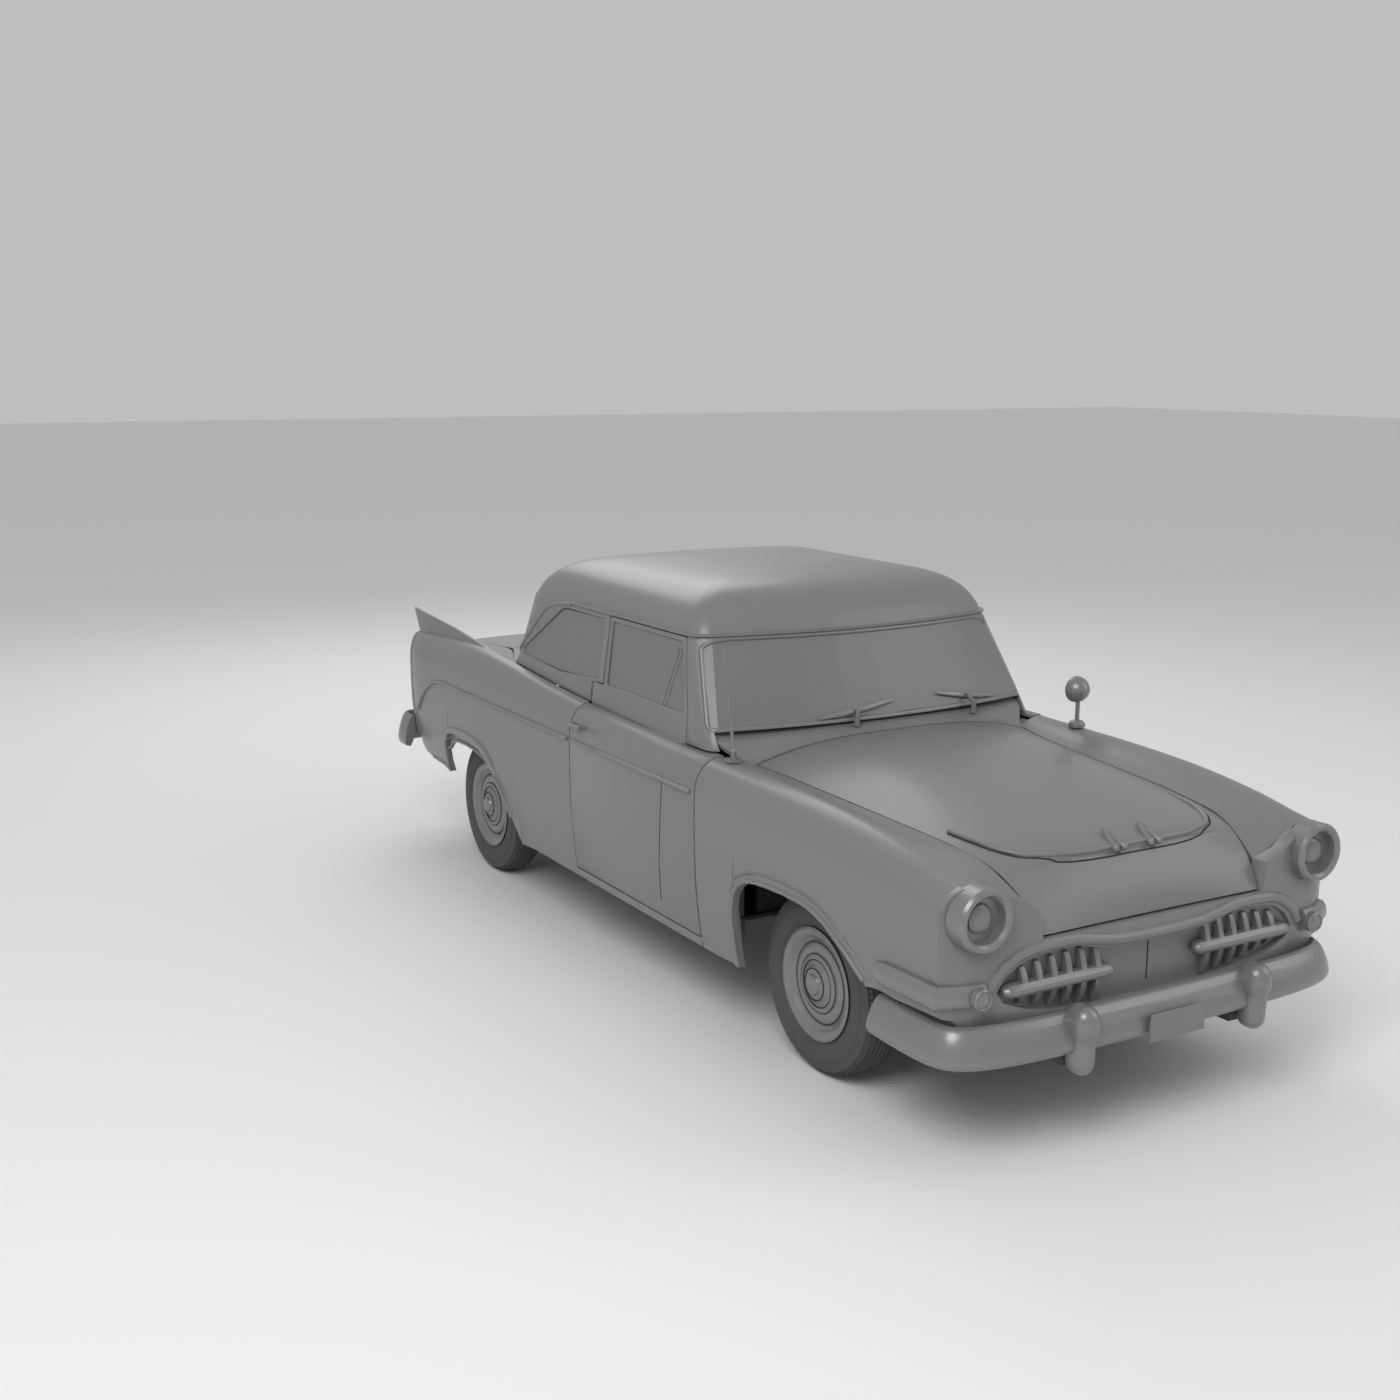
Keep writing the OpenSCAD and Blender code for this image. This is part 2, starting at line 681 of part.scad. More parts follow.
// Trunk lid, one row across: s, z at the middle, half width, z at the edge, inner face forward and down
lid_rows = [
    [lid_front, 1150, lid_x(lid_front), lid_z(lid_front), 0, 14],
    each [for (r = [[190, 1140], [390, 1122], [590, 1096]]) let (s = lid_front + r[0]) [s, r[1], lid_x(s),
        lid_z(s), 0, 14]],
    [tail - 70, 1066, lid_x(tail - 70), lid_z(tail - 70), 4, 13],
    [tail - 10, 1034, half - 280, 1026, 11, 9],
    [tail + 14, 980, half - 288, 976, 14, 2],
    [tail + 28, 860, half - 308, 860, 14, 0],
    [tail + 32, 740, half - 328, 740, 14, 0],
];
lid_steps = 5;

function lid_x(s) = at(skin, s, INX) - panel_gap;
function lid_z(s) = at(skin, s, INZ);

function lid_line(r, in) = [for (k = [lid_steps : -1 : -lid_steps]) let (u = k / lid_steps)
    [u * (r[2] - in * 4), station(r[0] - in * r[4]), lerp(r[1], r[3], u * u) - in * r[5]]];

// Path of a hinge arm from its pin to the lid: station, height
lid_arm = [[lid_hinge_s, lid_hinge_z], [2797, 1016], [2834, 1000], [2884, 1040], [2902, 1133]];

module trunk_lid() {
    color("grey") {
        wall([for (r = lid_rows) lid_line(r, 0)], [for (r = lid_rows) lid_line(r, 1)]);
        hinge_arms(lid_arm, lid_hinge_x);
    }
}

// Panel between the rear window and the trunk lid
deck_rows = [for (s = [2500, 2560, 2620, 2680, 2740, 2800, lid_front - hinge_gap])
    [s, 1151, at(skin, s, INX) - 13 * seam, at(skin, s, INZ), 0, 14]];

module deck_panel() {
    color("grey") difference() {
        wall([for (r = deck_rows) lid_line(r, 0)], [for (r = deck_rows) lid_line(r, 1)]);
        cab_solid(-seam);
    }
    color("grey") both() {
        block([lid_hinge_x + 11, lid_hinge_x + 23], [lid_hinge_s - 10, lid_hinge_s + 10],
            [lid_hinge_z - 14, 1140]);
        bar_x(hinge_pin_d, lid_hinge_x - 10, lid_hinge_x + 12, lid_hinge_s, lid_hinge_z);
    }
}

module tail_panel() {
    fin_x = at(skin, tail, HALF) - at(skin, tail, SHW);
    color("grey") difference() {
        along(mirrored(concat([[0, 566], [600, 566]], [for (p = section(tail, 566, 0, -1)) [p[0], p[2]]],
            [[640, 1030], [588, 732], [0, 732]])), tail + seam, tail + 30);
        both() block([fin_x - 36, fin_x + 8], [tail - 1, tail + 22], [crest(tail) - 30, crest(tail) + 20]);
    }
}

// Cowl between the hood and the windshield
cowl_rows = [
    [hood_rear - 20 + hood_gap, 1097, at(skin, hood_rear + hood_gap, INX) - seam, hood_z(hood_rear), 20, 0,
        16],
    [610, 1110, at(skin, 626, INX) - seam, 1026, 16, 0, 16],
    [680, 1124, half - 151, 1083, 20, 0, 16],
    [740, 1126, half - 144, 1120, 10, 0, 16],
];

module cowl() {
    color("grey") {
        wall([for (k = [3 : -1 : 0]) hood_line(cowl_rows[k], 0)],
            [for (k = [3 : -1 : 0]) hood_line(cowl_rows[k], 1)]);
        both() block([half - 218, half - 146], [door_front - 4, door_front + 52],
            [band_z - 28, band_z - 13]);
    }
}

// Nose: plan of its face, from the middle out
nose_plan = [[0, -896], [300, -895], [480, -891], [560, -884], [640, -877], [720, -872], [790, -860],
    [840, -843], [866, -830], [half - 28, nose_seam - 4]];
nose_front = concat([[0, 440], [740, 440], [790, 468], [826, 504]],
    [for (p = section(nose_seam, 512, 0, -1)) [p[0], p[2]]], [[502, 731], [0, 731]]);
mouth = [
    [0, 456], [230, 462], [420, 478], [560, 505], [650, 540], [678, 578], [642, 628], [580, 666],
        [520, 682], [440, 690], [350, 686],
    [283, 670], [174, 654], [0, 652],
];
// Rolled moulding over the mouth, from one end to the other: x, z
arch_line = [[708, 592], [686, 628], [650, 662], [600, 690], [540, 706], [460, 713], [370, 712], [290, 698],
    [190, 680], [90, 676], [0, 676]];
moulding_r = 21;
collar_s = -840;
tooth_w = 22;
grille_s = -866;
grille_z = 576;
// Wedge bar: its section from the side, forward and up; then x and size along it
bar_line = [[0, 24], [-22, 20], [-37, 6], [-40, -6], [-32, -18], [0, -22]];
bar_ends = [[654, 0.5], [640, 0.86], [610, 1], [222, 1], [202, 0.9], [192, 0.5]];

function mirrored(o) = concat(o, [for (k = [len(o) - 1 : -1 : 0]) [-o[k][0], o[k][1]]]);

module nose_panel() {
    color("grey") difference() {
        intersection() {
            along(mirrored(nose_front), -1000, nose_seam);
            translate([0, 0, 300]) linear_extrude(800)
                polygon([for (p = concat(nose_plan,
                    [[half, nose_seam - 4], [half, nose_seam], [-half, nose_seam], [-half, nose_seam - 4]],
                    [for (k = [len(nose_plan) - 1 : -1 : 1]) [-nose_plan[k][0], nose_plan[k][1]]])) [p[0],
                        station(p[1])]]);
        }
        along(mirrored(mouth), -1000, -896 + grille_depth);
        both() bar_y(headlamp_d - 24, -1000, nose_seam + 5, headlamp_x, headlamp_z);
        both() bar_y(headlamp_d + 2 * seam, -1000, collar_s, headlamp_x, headlamp_z);
    }
    color("grey") moulding();
}

module moulding() {
    path = concat([for (k = [0 : len(arch_line) - 1]) [-arch_line[k][0], arch_line[k][1]]],
        [for (k = [len(arch_line) - 2 : -1 : 0]) arch_line[k]]);
    loft([for (i = [0 : len(path) - 1]) let (n = side_of(path, i),
        s = straight(nose_plan, abs(path[i][0]), 1)) [for (a = [0 : 5]) let (
        w = 180 - 36 * a,
        p = path[i] + n * moulding_r * cos(w)
    ) [p[0], station(s + 4 - 22 * sin(w)), p[1]]]]);
}

function tooth_top(x) = lerp(664, 640, pow((x - 300) / 300, 2));
// Tooth from the side, bowed forward, between two heights
function tooth_line(dn, up) = let (b = -896 + grille_depth - seam) concat([[b, dn]],
    [for (k = [0 : 8]) let (u = k / 8) [b - 12 - 26 * sin(180 * u), lerp(dn, up, u)]], [[b, up]]);

// Grille: one thick bar a side, with teeth above and below
module grille() {
    color("silver") both() {
        loft([for (e = bar_ends) [for (p = bar_line) [e[0], station(grille_s + p[0] * e[1]),
            grille_z + p[1] * e[1]]]]);
        for (k = [1 : teeth])
            let (x = lerp(190, 600, k / (teeth + 0.5)), up = tooth_top(x),
            dn = lerp(470, 522, pow(k / teeth, 2)))
            across(tooth_line(dn, up), x - tooth_w / 2, x + tooth_w / 2);
    }
}

// Headlamps: bezel with a deep recess and a domed lens
module headlamps() {
    r = headlamp_d / 2;
    collar = -860 - collar_s + seam;
    color("silver") both() translate([headlamp_x, station(-860), headlamp_z]) rotate([90, 0, 0])
        rotate_extrude($fn = 64)
        polygon([[0, -30], [r - 12 - seam, -30], [r - 12 - seam, collar], [r, collar], [r, 48], [r - 8, 58],
            [r - 20, 60], [r - 30, 50],
            [r - 32, 16], [50, 14], [48, 22], [34, 30], [0, 33]]);
}

pod_t = 30;
pod_z = 544;
pod_h = 80;
// Pod behind each parking lamp, along the front corner: x, s
pod_plan = concat([for (x = [728, 744, 760, 790, 840, 866]) [x, straight(nose_plan, x, 1) - seam]],
    [[half - 27, nose_seam - 6], [half - 27.5, nose_seam + 6]],
    [for (s = [-770, -720, -670, -610, -560, -525]) [side_x(s, pod_z + pod_h) + seam, s]]);
// Pod section: share of its thickness, share of its height
pod = [[0, 0], [0.5, 0.02], [0.86, 0.16], [1, 0.46], [0.8, 0.8], [0.4, 0.98], [0, 1]];

module parking_lamps() {
    color("silver") both()
        loft([for (i = [0 : len(pod_plan) - 1]) let (k = pod_size(i)) pod_ring(i, pod_t * k,
        pod_z + pod_h * (1 - k) / 2, pod_h * k)]);
    color("silver") both() translate([762, station(-890), 582]) rotate([90, 0, 0]) rotate_extrude($fn = 48)
        polygon([[0, 0], [parking_d / 2, 0], [parking_d / 2, 22], [parking_d / 2 - 6, 28],
            [parking_d / 2 - 10, 24], [14, 30], [0, 31]]);
}

tail_x = half - 172;
tail_z = [906, 772];

module tail_lamps() {
    color("silver") both() {
        hull() for (z = tail_z) translate([tail_x, station(tail + 30 + seam), z]) rotate([-90, 0, 0])
            cylinder(d = 140, h = 14, $fn = 32);
        for (z = tail_z) translate([tail_x, station(tail + 30), z]) rotate([-90, 0, 0])
            rotate_extrude($fn = 48)
            polygon([[0, 8], [56, 8], [56, 26], [50, 34], [46, 30], [40, 42], [24, 52], [0, 56]]);
    }
}

// Bumper blade: half of its plan, from the middle out; x, s
front_plan = [[0, -990], [350, -988], [600, -979], [760, -958], [850, -924], [898, -874], [916, -800],
    [918, -690], [916, -590], [908, -496]];
rear_plan = [[0, 3920], [350, 3919], [620, 3917], [780, 3908], [850, 3894], [890, 3858], [904, 3800],
    [902, 3708]];
// Blade section: share of its thickness, share of its height
blade = [[0.5, 0], [0.88, 0.03], [1, 0.12], [1, 0.24], [0.86, 0.52], [0.62, 0.8], [0.36, 0.96], [0.16, 1],
    [0, 0.92], [0, 0.4], [0.3, 0.1]];

function ring_at(path, i, t, z, h) = let (
    a = path[max(i - 1, 0)],
    b = path[min(i + 1, len(path) - 1)],
    d = (b - a) / norm(b - a)
) [for (p = blade) [path[i][0] - d[1] * t * (1 - p[0]), station(path[i][1] + d[0] * t * (1 - p[0])),
    z + p[1] * h]];

function pod_ring(i, t, z, h) = let (n = side_of(pod_plan, i))
    [for (p = pod) [pod_plan[i][0] - n[0] * t * p[0], station(pod_plan[i][1] - n[1] * t * p[0]),
        z + p[1] * h]];
function pod_size(i) = i == len(pod_plan) - 1 ? 0.72 : 1;
function whole(plan) = concat([for (k = [len(plan) - 1 : -1 : 1]) [-plan[k][0], plan[k][1]]], plan);

// Overrider, post and cap: lower and upper height, radius, how far it lies back
overrider = [[322, 430, 44, 6], [442, 468, 52, 0]];

module front_bumper() {
    path = whole(front_plan);
    color("silver") {
        loft([for (i = [0 : len(path) - 1]) ring_at(path, i, blade_t, bumper_z, bumper_h)]);
        both() block([rail_x - 30, rail_x + 30], [-960, rail_front], [bumper_z + 6, floor_z - 2]);
        both() for (o = overrider) hull()
            for (z = [o[0], o[1]], s = [o[2] - front_overhang + o[3], -932 - o[2]])
            translate([396, station(s), z]) sphere(r = o[2], $fn = 14);
        difference() {
            block([-bracket_x, bracket_x], [-bracket_s, -bracket_s + bracket_t],
                [bracket_z - 22, bracket_z + 22]);
            for (x = [-plate_pitch / 2, plate_pitch / 2])
                bar_y(plate_hole_d, -bracket_s - 1, -bracket_s + bracket_t + 1, x, bracket_z);
        }
        block([-60, 60], [-bracket_s + bracket_t - 1, -950], [bracket_z - 20, bracket_z + 20]);
    }
}

module rear_bumper() {
    path = whole([for (p = rear_plan) [p[0], p[1] + rear_axle - 2896]]);
    color("silver") {
        loft([for (i = [0 : len(path) - 1]) let (r = ring_at(path, i, -60, 488,
            168)) [for (k = [len(r) - 1 : -1 : 0]) r[k]]]);
        both() block([rail_x - 30, rail_x + 30], [rear_axle + 900, rear_axle + 985], [500, 560]);
    }
}

// Frame rail over the rear axle, lower edge and back along the upper one: distance behind the axle, height
rail_kick = [
    [-646, rail_z], [-446, 440], [354, 440], [554, 470], [900, 470], [900, 560], [-476, 560], [-696, floor_z],
];

module frame() {
    color("dimgrey") difference() {
        union() {
            both() across(
                concat([[rail_front, rail_z]], [for (p = rail_kick) p + [rear_axle, 0]], [[rail_front, floor_z]]),
                rail_x - rail_w / 2, rail_x + rail_w / 2);
            for (s = [-760, -60, 900, 1700])
                block([-rail_x, rail_x], [s, s + 90], [rail_z + 10, rail_z + 90]);
            for (s = [-336, 604])
                block([-rail_x, rail_x], [rear_axle + s, rear_axle + s + 80], [460, 540]);
        }
        both() bar_z(tow_d, rail_z - rail_h / 2, floor_z + rail_h / 2, rail_x, tow_s);
    }
}

module floor() {
    color("dimgrey") {
        block([-sill_in + 30, sill_in - 30], [hood_rear + 10, heel_s + floor_t], [floor_z, floor_z + floor_t]);
        block([-trunk_x, trunk_x], [heel_s, tail - 30], [trunk_z - floor_t, trunk_z]);
        block([-trunk_x, trunk_x], [heel_s, heel_s + floor_t], [floor_z, trunk_z]);
        block([-trunk_x, trunk_x], [rear_axle - 456, rear_axle - 440], [trunk_z, 1100]);
        block([-dash_wall_x, dash_wall_x], [hood_rear + 30, hood_rear + 46], [floor_z, 1004]);
        both() {
            block([hood_hinge_x + 11, hood_hinge_x + 23], [hood_hinge_s - 8, hood_hinge_s + 8],
                [990, hood_hinge_z + 23]);
            bar_x(hinge_pin_d, hood_hinge_x - 10, hood_hinge_x + 12, hood_hinge_s, hood_hinge_z);
        }
    }
}

module rockers() {
    color("grey") both() {
        block([sill_in - 30, half - 36], [door_front - panel_gap + seam, door_rear + panel_gap / 2 - seam],
            [rocker_z + 4, door_bottom_z - panel_gap]);
        block([sill_in - 30, sill_in], [560, 2280], [rocker_z + 4, floor_z + floor_t]);
    }
}

module inner_fenders() {
    color("dimgrey") both()
        along([[rail_x + 3, floor_z], [rail_x + 15, floor_z], [rail_x + 15, 860], [540, 880], [540, 892],
        [rail_x + 3, 872]], -620, hood_rear);
}

module engine() {
    color("dimgrey") {
        block([-250, 250], [-520, 330], [392, 800]);
        block([-150, 150], [330, 556], [392, 600]);
        block([-rail_x + rail_w / 2, rail_x - rail_w / 2], [-420, -340], [380, 400]);
    }
}

module front_suspension() {
    color("dimgrey") difference() {
        union() {
            both() for (z = [[wheel_z - 96, 34], [wheel_z + 66, 30]])
                hull() {
                    translate([kingpin_x, station(0), z[0]]) cylinder(d = 50, h = z[1], $fn = 32);
                    block([rail_x + rail_w / 2 - 20, rail_x + rail_w / 2 + 10], [-90, 90],
                        [z[0], z[0] + z[1]]);
                }
            both() block([rail_x + rail_w / 2, rail_x + rail_w / 2 + 12], [-100, 100],
                [wheel_z - 96, wheel_z + 96]);
        }
        both() bar_z(kingpin_d + 2 * pin_play, 0, 1000, kingpin_x, 0);
    }
}

// Steering knuckle with its kingpin and wheel spindle
module knuckle(side) {
    sx = side * kingpin_x;
    bar_z(kingpin_d, wheel_z - 94, wheel_z + 94, sx, 0);
    bar_z(46, wheel_z - 61, wheel_z + 65, sx, 0);
    if (side > 0) bar_x(spindle_d, kingpin_x, wheel_x + 30, 0, wheel_z);
    else bar_x(spindle_d, -wheel_x - 30, -kingpin_x, 0, wheel_z);
    block([sx - 10, sx + 10], [0, 130], [wheel_z - 40, wheel_z - 20]);
}

module knuckle_left() {
    color("dimgrey") knuckle(1);
}

module knuckle_right() {
    color("dimgrey") knuckle(-1);
}

// Half of the axle casing: radius, distance from the middle
axle_half = [
    [0, wheel_x + 30], [spindle_d / 2, wheel_x + 30], [spindle_d / 2, wheel_x - 90], [38, wheel_x - 90],
        [38, 170], [64, 130],
    [104, 80], [118, 30],
];

module rear_axle() {
    color("dimgrey") {
        translate([0, station(rear_axle), wheel_z]) rotate([0, 90, 0]) rotate_extrude($fn = 48)
            polygon(concat(axle_half, [for (k = [len(axle_half) - 1 : -1 : 0]) [axle_half[k][0],
                -axle_half[k][1]]]));
        both() across([[rear_axle - 640, 400], [rear_axle - 300, wheel_z + 44],
            [rear_axle + 300, wheel_z + 44], [rear_axle + 640, 440],
            [rear_axle + 640, 470], [rear_axle + 300, wheel_z + 74], [rear_axle - 300, wheel_z + 74],
                [rear_axle - 640, 440]], 500, 560);
        both() block([500, 560], [rear_axle - 60, rear_axle + 60], [wheel_z + 20, wheel_z + 60]);
        both() block([rail_x + rail_w / 2, 560], [rear_axle - 640, rear_axle - 600], [402, 438]);
        both() block([rail_x + rail_w / 2, 560], [rear_axle + 600, rear_axle + 640], [440, 500]);
    }
}

module fuel_tank() {
    color("dimgrey") block([-330, 330], [3170, 3490], [380, 559.7]);
}

module exhaust() {
    color("dimgrey") {
        bar_y(56, 300, 2300, 250, rail_z + 10 - 28 - seam);
        bar_y(112, 1150, 1600, 250, rail_z + 10 - 28 - seam);
    }
}

// Tyre profile: radius, distance from its middle
module tyre(x, s) {
    r = tyre_d / 2;
    b = rim_d / 2;
    w = tyre_w / 2;
    half_tyre = [[b, w - 24], [b + 12, w - 16], [b + 40, w - 4], [b + 72, w], [r - 40, w - 3],
        [r - 18, w - 12], [r - 5, w - 26], [r, w - 44]];
    translate([x, station(s), wheel_z]) rotate([0, 90, 0]) rotate_extrude($fn = 72)
        polygon(concat(half_tyre, [for (k = [len(half_tyre) - 1 : -1 : 0]) [half_tyre[k][0],
            -half_tyre[k][1]]]));
}

// Wheel with its trim ring and stepped cap; side turns the cap outwards
module wheel(x, s, side) {
    b = rim_d / 2 - seam;
    translate([x, station(s), wheel_z]) rotate([0, side * 90, 0]) difference() {
        rotate_extrude($fn = 72) polygon([
            [0, -10], [95, -10], [112, 6], [b - 26, 6], [b - 16, -tyre_w / 2 + 24], [b, -tyre_w / 2 + 24],
                [b, 60], [b + 14, 70], [b + 18, 78], [b + 8, 82],
            [b - 10, 74], [b - 26, 58], [b - 38, 50], [b - 44, 56], [b - 62, 62], [112, 60], [106, 66],
                [92, 70], [86, 66], [70, 70], [62, 78],
            [40, 84], [36, 92], [18, 98], [0, 99],
        ]);
        translate([0, 0, -20]) cylinder(d = spindle_d + 2 * pin_play, h = 20 + 31, $fn = 48);
    }
}

module tyre_front_left() {
    color("dimgrey") tyre(wheel_x, 0);
}

module tyre_front_right() {
    color("dimgrey") tyre(-wheel_x, 0);
}

module tyre_rear_left() {
    color("dimgrey") tyre(wheel_x, rear_axle);
}

module tyre_rear_right() {
    color("dimgrey") tyre(-wheel_x, rear_axle);
}

module wheel_front_left() {
    color("silver") wheel(wheel_x, 0, 1);
}

module wheel_front_right() {
    color("silver") wheel(-wheel_x, 0, -1);
}

module wheel_rear_left() {
    color("silver") wheel(wheel_x, rear_axle, 1);
}

module wheel_rear_right() {
    color("silver") wheel(-wheel_x, rear_axle, -1);
}

// Axis of the steering column, pointing from its top end down to the dashboard
module column() {
    translate([380, station(930), 1006]) rotate([115, 0, 0]) children();
}

module dashboard() {
    color("dimgrey") difference() {
        union() {
            along([[-690, 860], [690, 860], [690, 1000], [-690, 1000]], hood_rear + 46, 760);
            column() cylinder(d = 60, h = 330, $fn = 48);
        }
        column() translate([0, 0, -1]) cylinder(d = shaft_d + 2 * pin_play, h = 81, $fn = 48);
    }
}

module steering_wheel() {
    color("dimgrey") column() {
        translate([0, 0, -60]) rotate_extrude($fn = 64) translate([steering_wheel_d / 2 - 12, 0])
            circle(r = 12, $fn = 24);
        translate([0, 0, -66]) cylinder(d = 70, h = 60, $fn = 48);
        translate([0, 0, -10]) cylinder(d = shaft_d, h = 80, $fn = 48);
        for (a = [0, 180]) rotate([0, 0, a]) translate([20, -12, -66])
            cube([steering_wheel_d / 2 - 30, 24, 12]);
    }
}

module front_seat() {
    color("grey") hull() {
        block([-660, 660], [1120, 1560], [floor_z + floor_t + 160, 700]);
        block([-660, 660], [1560, 1640], [floor_z + floor_t, 700]);
        block([-640, 640], [1600, 1680], [1000, 1080]);
    }
}

module rear_seat() {
    color("grey") {
        block([-580, 580], [1960, 2179], [floor_z + floor_t, 690]);
        hull() {
            block([-580, 580], [2170, 2260], [576, 690]);
            block([-580, 580], [2380, 2439], [640, 1040]);
        }
    }
}

// Station of the windshield's outer face
function screen_s(x, z) = let (u = (z - cab_rows[1][0]) / (cab_rows[2][0] - cab_rows[1][0]),
    r = [for (k = [0 : 6]) lerp(cab_rows[1][k], cab_rows[2][k],
        u)]) r[2] + 9 - r[3] * (1 - pow(x / (r[1] - 9 - r[6]), 2));

// Each wiper blade: x and height of its two ends, then x, station and height of its pivot's foot
wiper_rows = [[-322, 1148, 40, 1190, -170, 608, 1110.6], [600, 1150, 282, 1192, 440, 628, 1100]];

// Half width of the blade along its length
blade_w = [5, 13, 16, 13, 5];

// Lean of the glass under the blades
glass_lean = atan((cab_rows[2][2] - cab_rows[1][2]) / (cab_rows[2][0] - cab_rows[1][0]));

module blade_bead(x, z, r, off) {
    translate([x, station(screen_s(x, z)) - off, z]) rotate([-glass_lean, 0, 0])
        scale([1, 0.45, 1]) sphere(r = r, $fn = 10);
}

module wipers() {
    color("silver") for (w = wiper_rows) {
        for (k = [0 : 3]) hull() for (u = [k, k + 1])
            blade_bead(lerp(w[0], w[2], u / 4), lerp(w[1], w[3], u / 4), blade_w[u], 11);
        hull() {
            translate([w[4], station(w[5]), 1150]) sphere(r = 8, $fn = 8);
            let (x = (w[0] + w[2]) / 2, z = (w[1] + w[3]) / 2) blade_bead(x, z, 9, 14);
        }
        bar_z(24, w[6], 1152, w[4], w[5]);
    }
}

module side_mirror() {
    color("silver") {
        translate([half - 118, station(380), crest(380) + seam]) {
            rotate_extrude($fn = 32)
                polygon([[0, 0], [34, 0], [34, 14], [26, 24], [9, 30], [9, 110], [0, 110]]);
            translate([0, 0, 156]) rotate([90, 0, 0]) rotate_extrude($fn = 48)
                polygon([[0, -24], [52, -24], [55, -18], [54, -4], [48, 14], [36, 30], [20, 42], [0, 48]]);
        }
    }
}

module antenna() {
    color("silver") {
        translate([118 - half, station(540), crest(540) + seam]) {
            cylinder(d = 64, h = 12, $fn = 5);
            cylinder(d = 22, h = 44, $fn = 32);
            translate([0, 0, 40]) rotate([-12, 0, 0]) {
                sphere(d = 24, $fn = 32);
                cylinder(d = 12, h = 90, $fn = 24);
                cylinder(d = 5, h = 380, $fn = 24);
            }
        }
    }
}

// End of the quarter's spear: back from the axle, down from its line
spear_drop = [[360, -5], [450, -24], [530, -62], [600, -114], [660, -170], [700, -214]];

module quarter_trim() {
    color("silver") both()
        spear(concat([for (s = stops(door_rear + 20, rear_axle + 260, 8)) [s, spear_z]],
        [for (p = spear_drop) p + [rear_axle, spear_z]]));
}

frame();
floor();
rockers();
door_posts();
inner_fenders();
engine();
front_suspension();
rear_axle();
fuel_tank();
exhaust();
front_fenders();
nose_panel();
cowl();
rear_quarters();
deck_panel();
tail_panel();
roof();
pillars();
windshield();
rear_window();
quarter_windows();
front_bumper();
rear_bumper();
grille();
headlamps();
parking_lamps();
tail_lamps();
wipers();
side_mirror();
antenna();
quarter_trim();
dashboard();
front_seat();
rear_seat();
door_left();
door_right();
door_glass_left();
door_glass_right();
door_trim_left();
door_trim_right();
hood();
hood_ornaments();
trunk_lid();
knuckle_left();
knuckle_right();
tyre_front_left();
tyre_front_right();
tyre_rear_left();
tyre_rear_right();
wheel_front_left();
wheel_front_right();
wheel_rear_left();
wheel_rear_right();
steering_wheel();
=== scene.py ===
import json
import math

import bpy
from mathutils import Matrix, Vector
from mathutils.bvhtree import BVHTree


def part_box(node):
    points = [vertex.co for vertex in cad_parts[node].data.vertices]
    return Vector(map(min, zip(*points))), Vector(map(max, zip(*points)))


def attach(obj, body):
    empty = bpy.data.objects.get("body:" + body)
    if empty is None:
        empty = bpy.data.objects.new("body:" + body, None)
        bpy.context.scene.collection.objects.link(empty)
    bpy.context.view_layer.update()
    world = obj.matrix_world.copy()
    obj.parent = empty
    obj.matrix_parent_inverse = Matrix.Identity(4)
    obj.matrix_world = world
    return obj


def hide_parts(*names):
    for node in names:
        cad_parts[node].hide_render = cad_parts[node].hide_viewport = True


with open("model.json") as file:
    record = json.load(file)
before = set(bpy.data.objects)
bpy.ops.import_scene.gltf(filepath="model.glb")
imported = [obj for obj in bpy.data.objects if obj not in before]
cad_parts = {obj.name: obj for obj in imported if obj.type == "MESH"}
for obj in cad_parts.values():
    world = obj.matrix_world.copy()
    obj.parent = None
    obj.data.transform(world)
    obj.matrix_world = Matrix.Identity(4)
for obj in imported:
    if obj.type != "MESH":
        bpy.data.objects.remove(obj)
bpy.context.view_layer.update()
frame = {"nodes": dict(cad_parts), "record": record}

bl_info = {
    "name": "Two-door sedan finish",
    "version": (1, 0, 0),
    "blender": (4, 5, 0),
    "location": "View3D > Sidebar > Sedan",
    "description": "Dresses the packed sedan: smooth panels, glass seals, tyres, seats and studio",
    "category": "Object",
}

MM = 0.001
FRONT_AXLE_Y = -1.455
WHEEL_Z = 0.338
NODES = frame["nodes"]
BODY_OF = {n: b for b, ns in frame["record"]["behaviour"]["bodies"].items() for n in ns}
SLOT_OF = {p["node"]: p["material_slot"] for p in frame["record"]["subparts"]}


def station(s):
    """The frame's y, in metres, of a station in millimetres behind the front axle."""
    return FRONT_AXLE_Y + s * MM


def station_of(place):
    """The station, in millimetres, of a place in the frame."""
    return (place.y - FRONT_AXLE_Y) / MM


def place_of(point):
    """The place in the frame of an x, a station and a height in millimetres."""
    return Vector((point[0] * MM, station(point[1]), point[2] * MM))


# Materials


def linear(code):
    """A hex sRGB colour as linear RGBA."""
    out = []
    for k in (1, 3, 5):
        c = int(code[k : k + 2], 16) / 255
        out.append(c / 12.92 if c <= 0.04045 else ((c + 0.055) / 1.055) ** 2.4)
    return (*out, 1.0)


def node(tree, kind, links=(), **settings):
    """Adds a shader node: settings and inputs by name, links as (socket, from node, output)."""
    n = tree.nodes.new(kind)
    for key, value in settings.items():
        if hasattr(n, key):
            setattr(n, key, value)
        else:
            n.inputs[key.replace("_", " ")].default_value = value
    for socket, source, output in links:
        tree.links.new(source.outputs[output], n.inputs[socket])
    return n


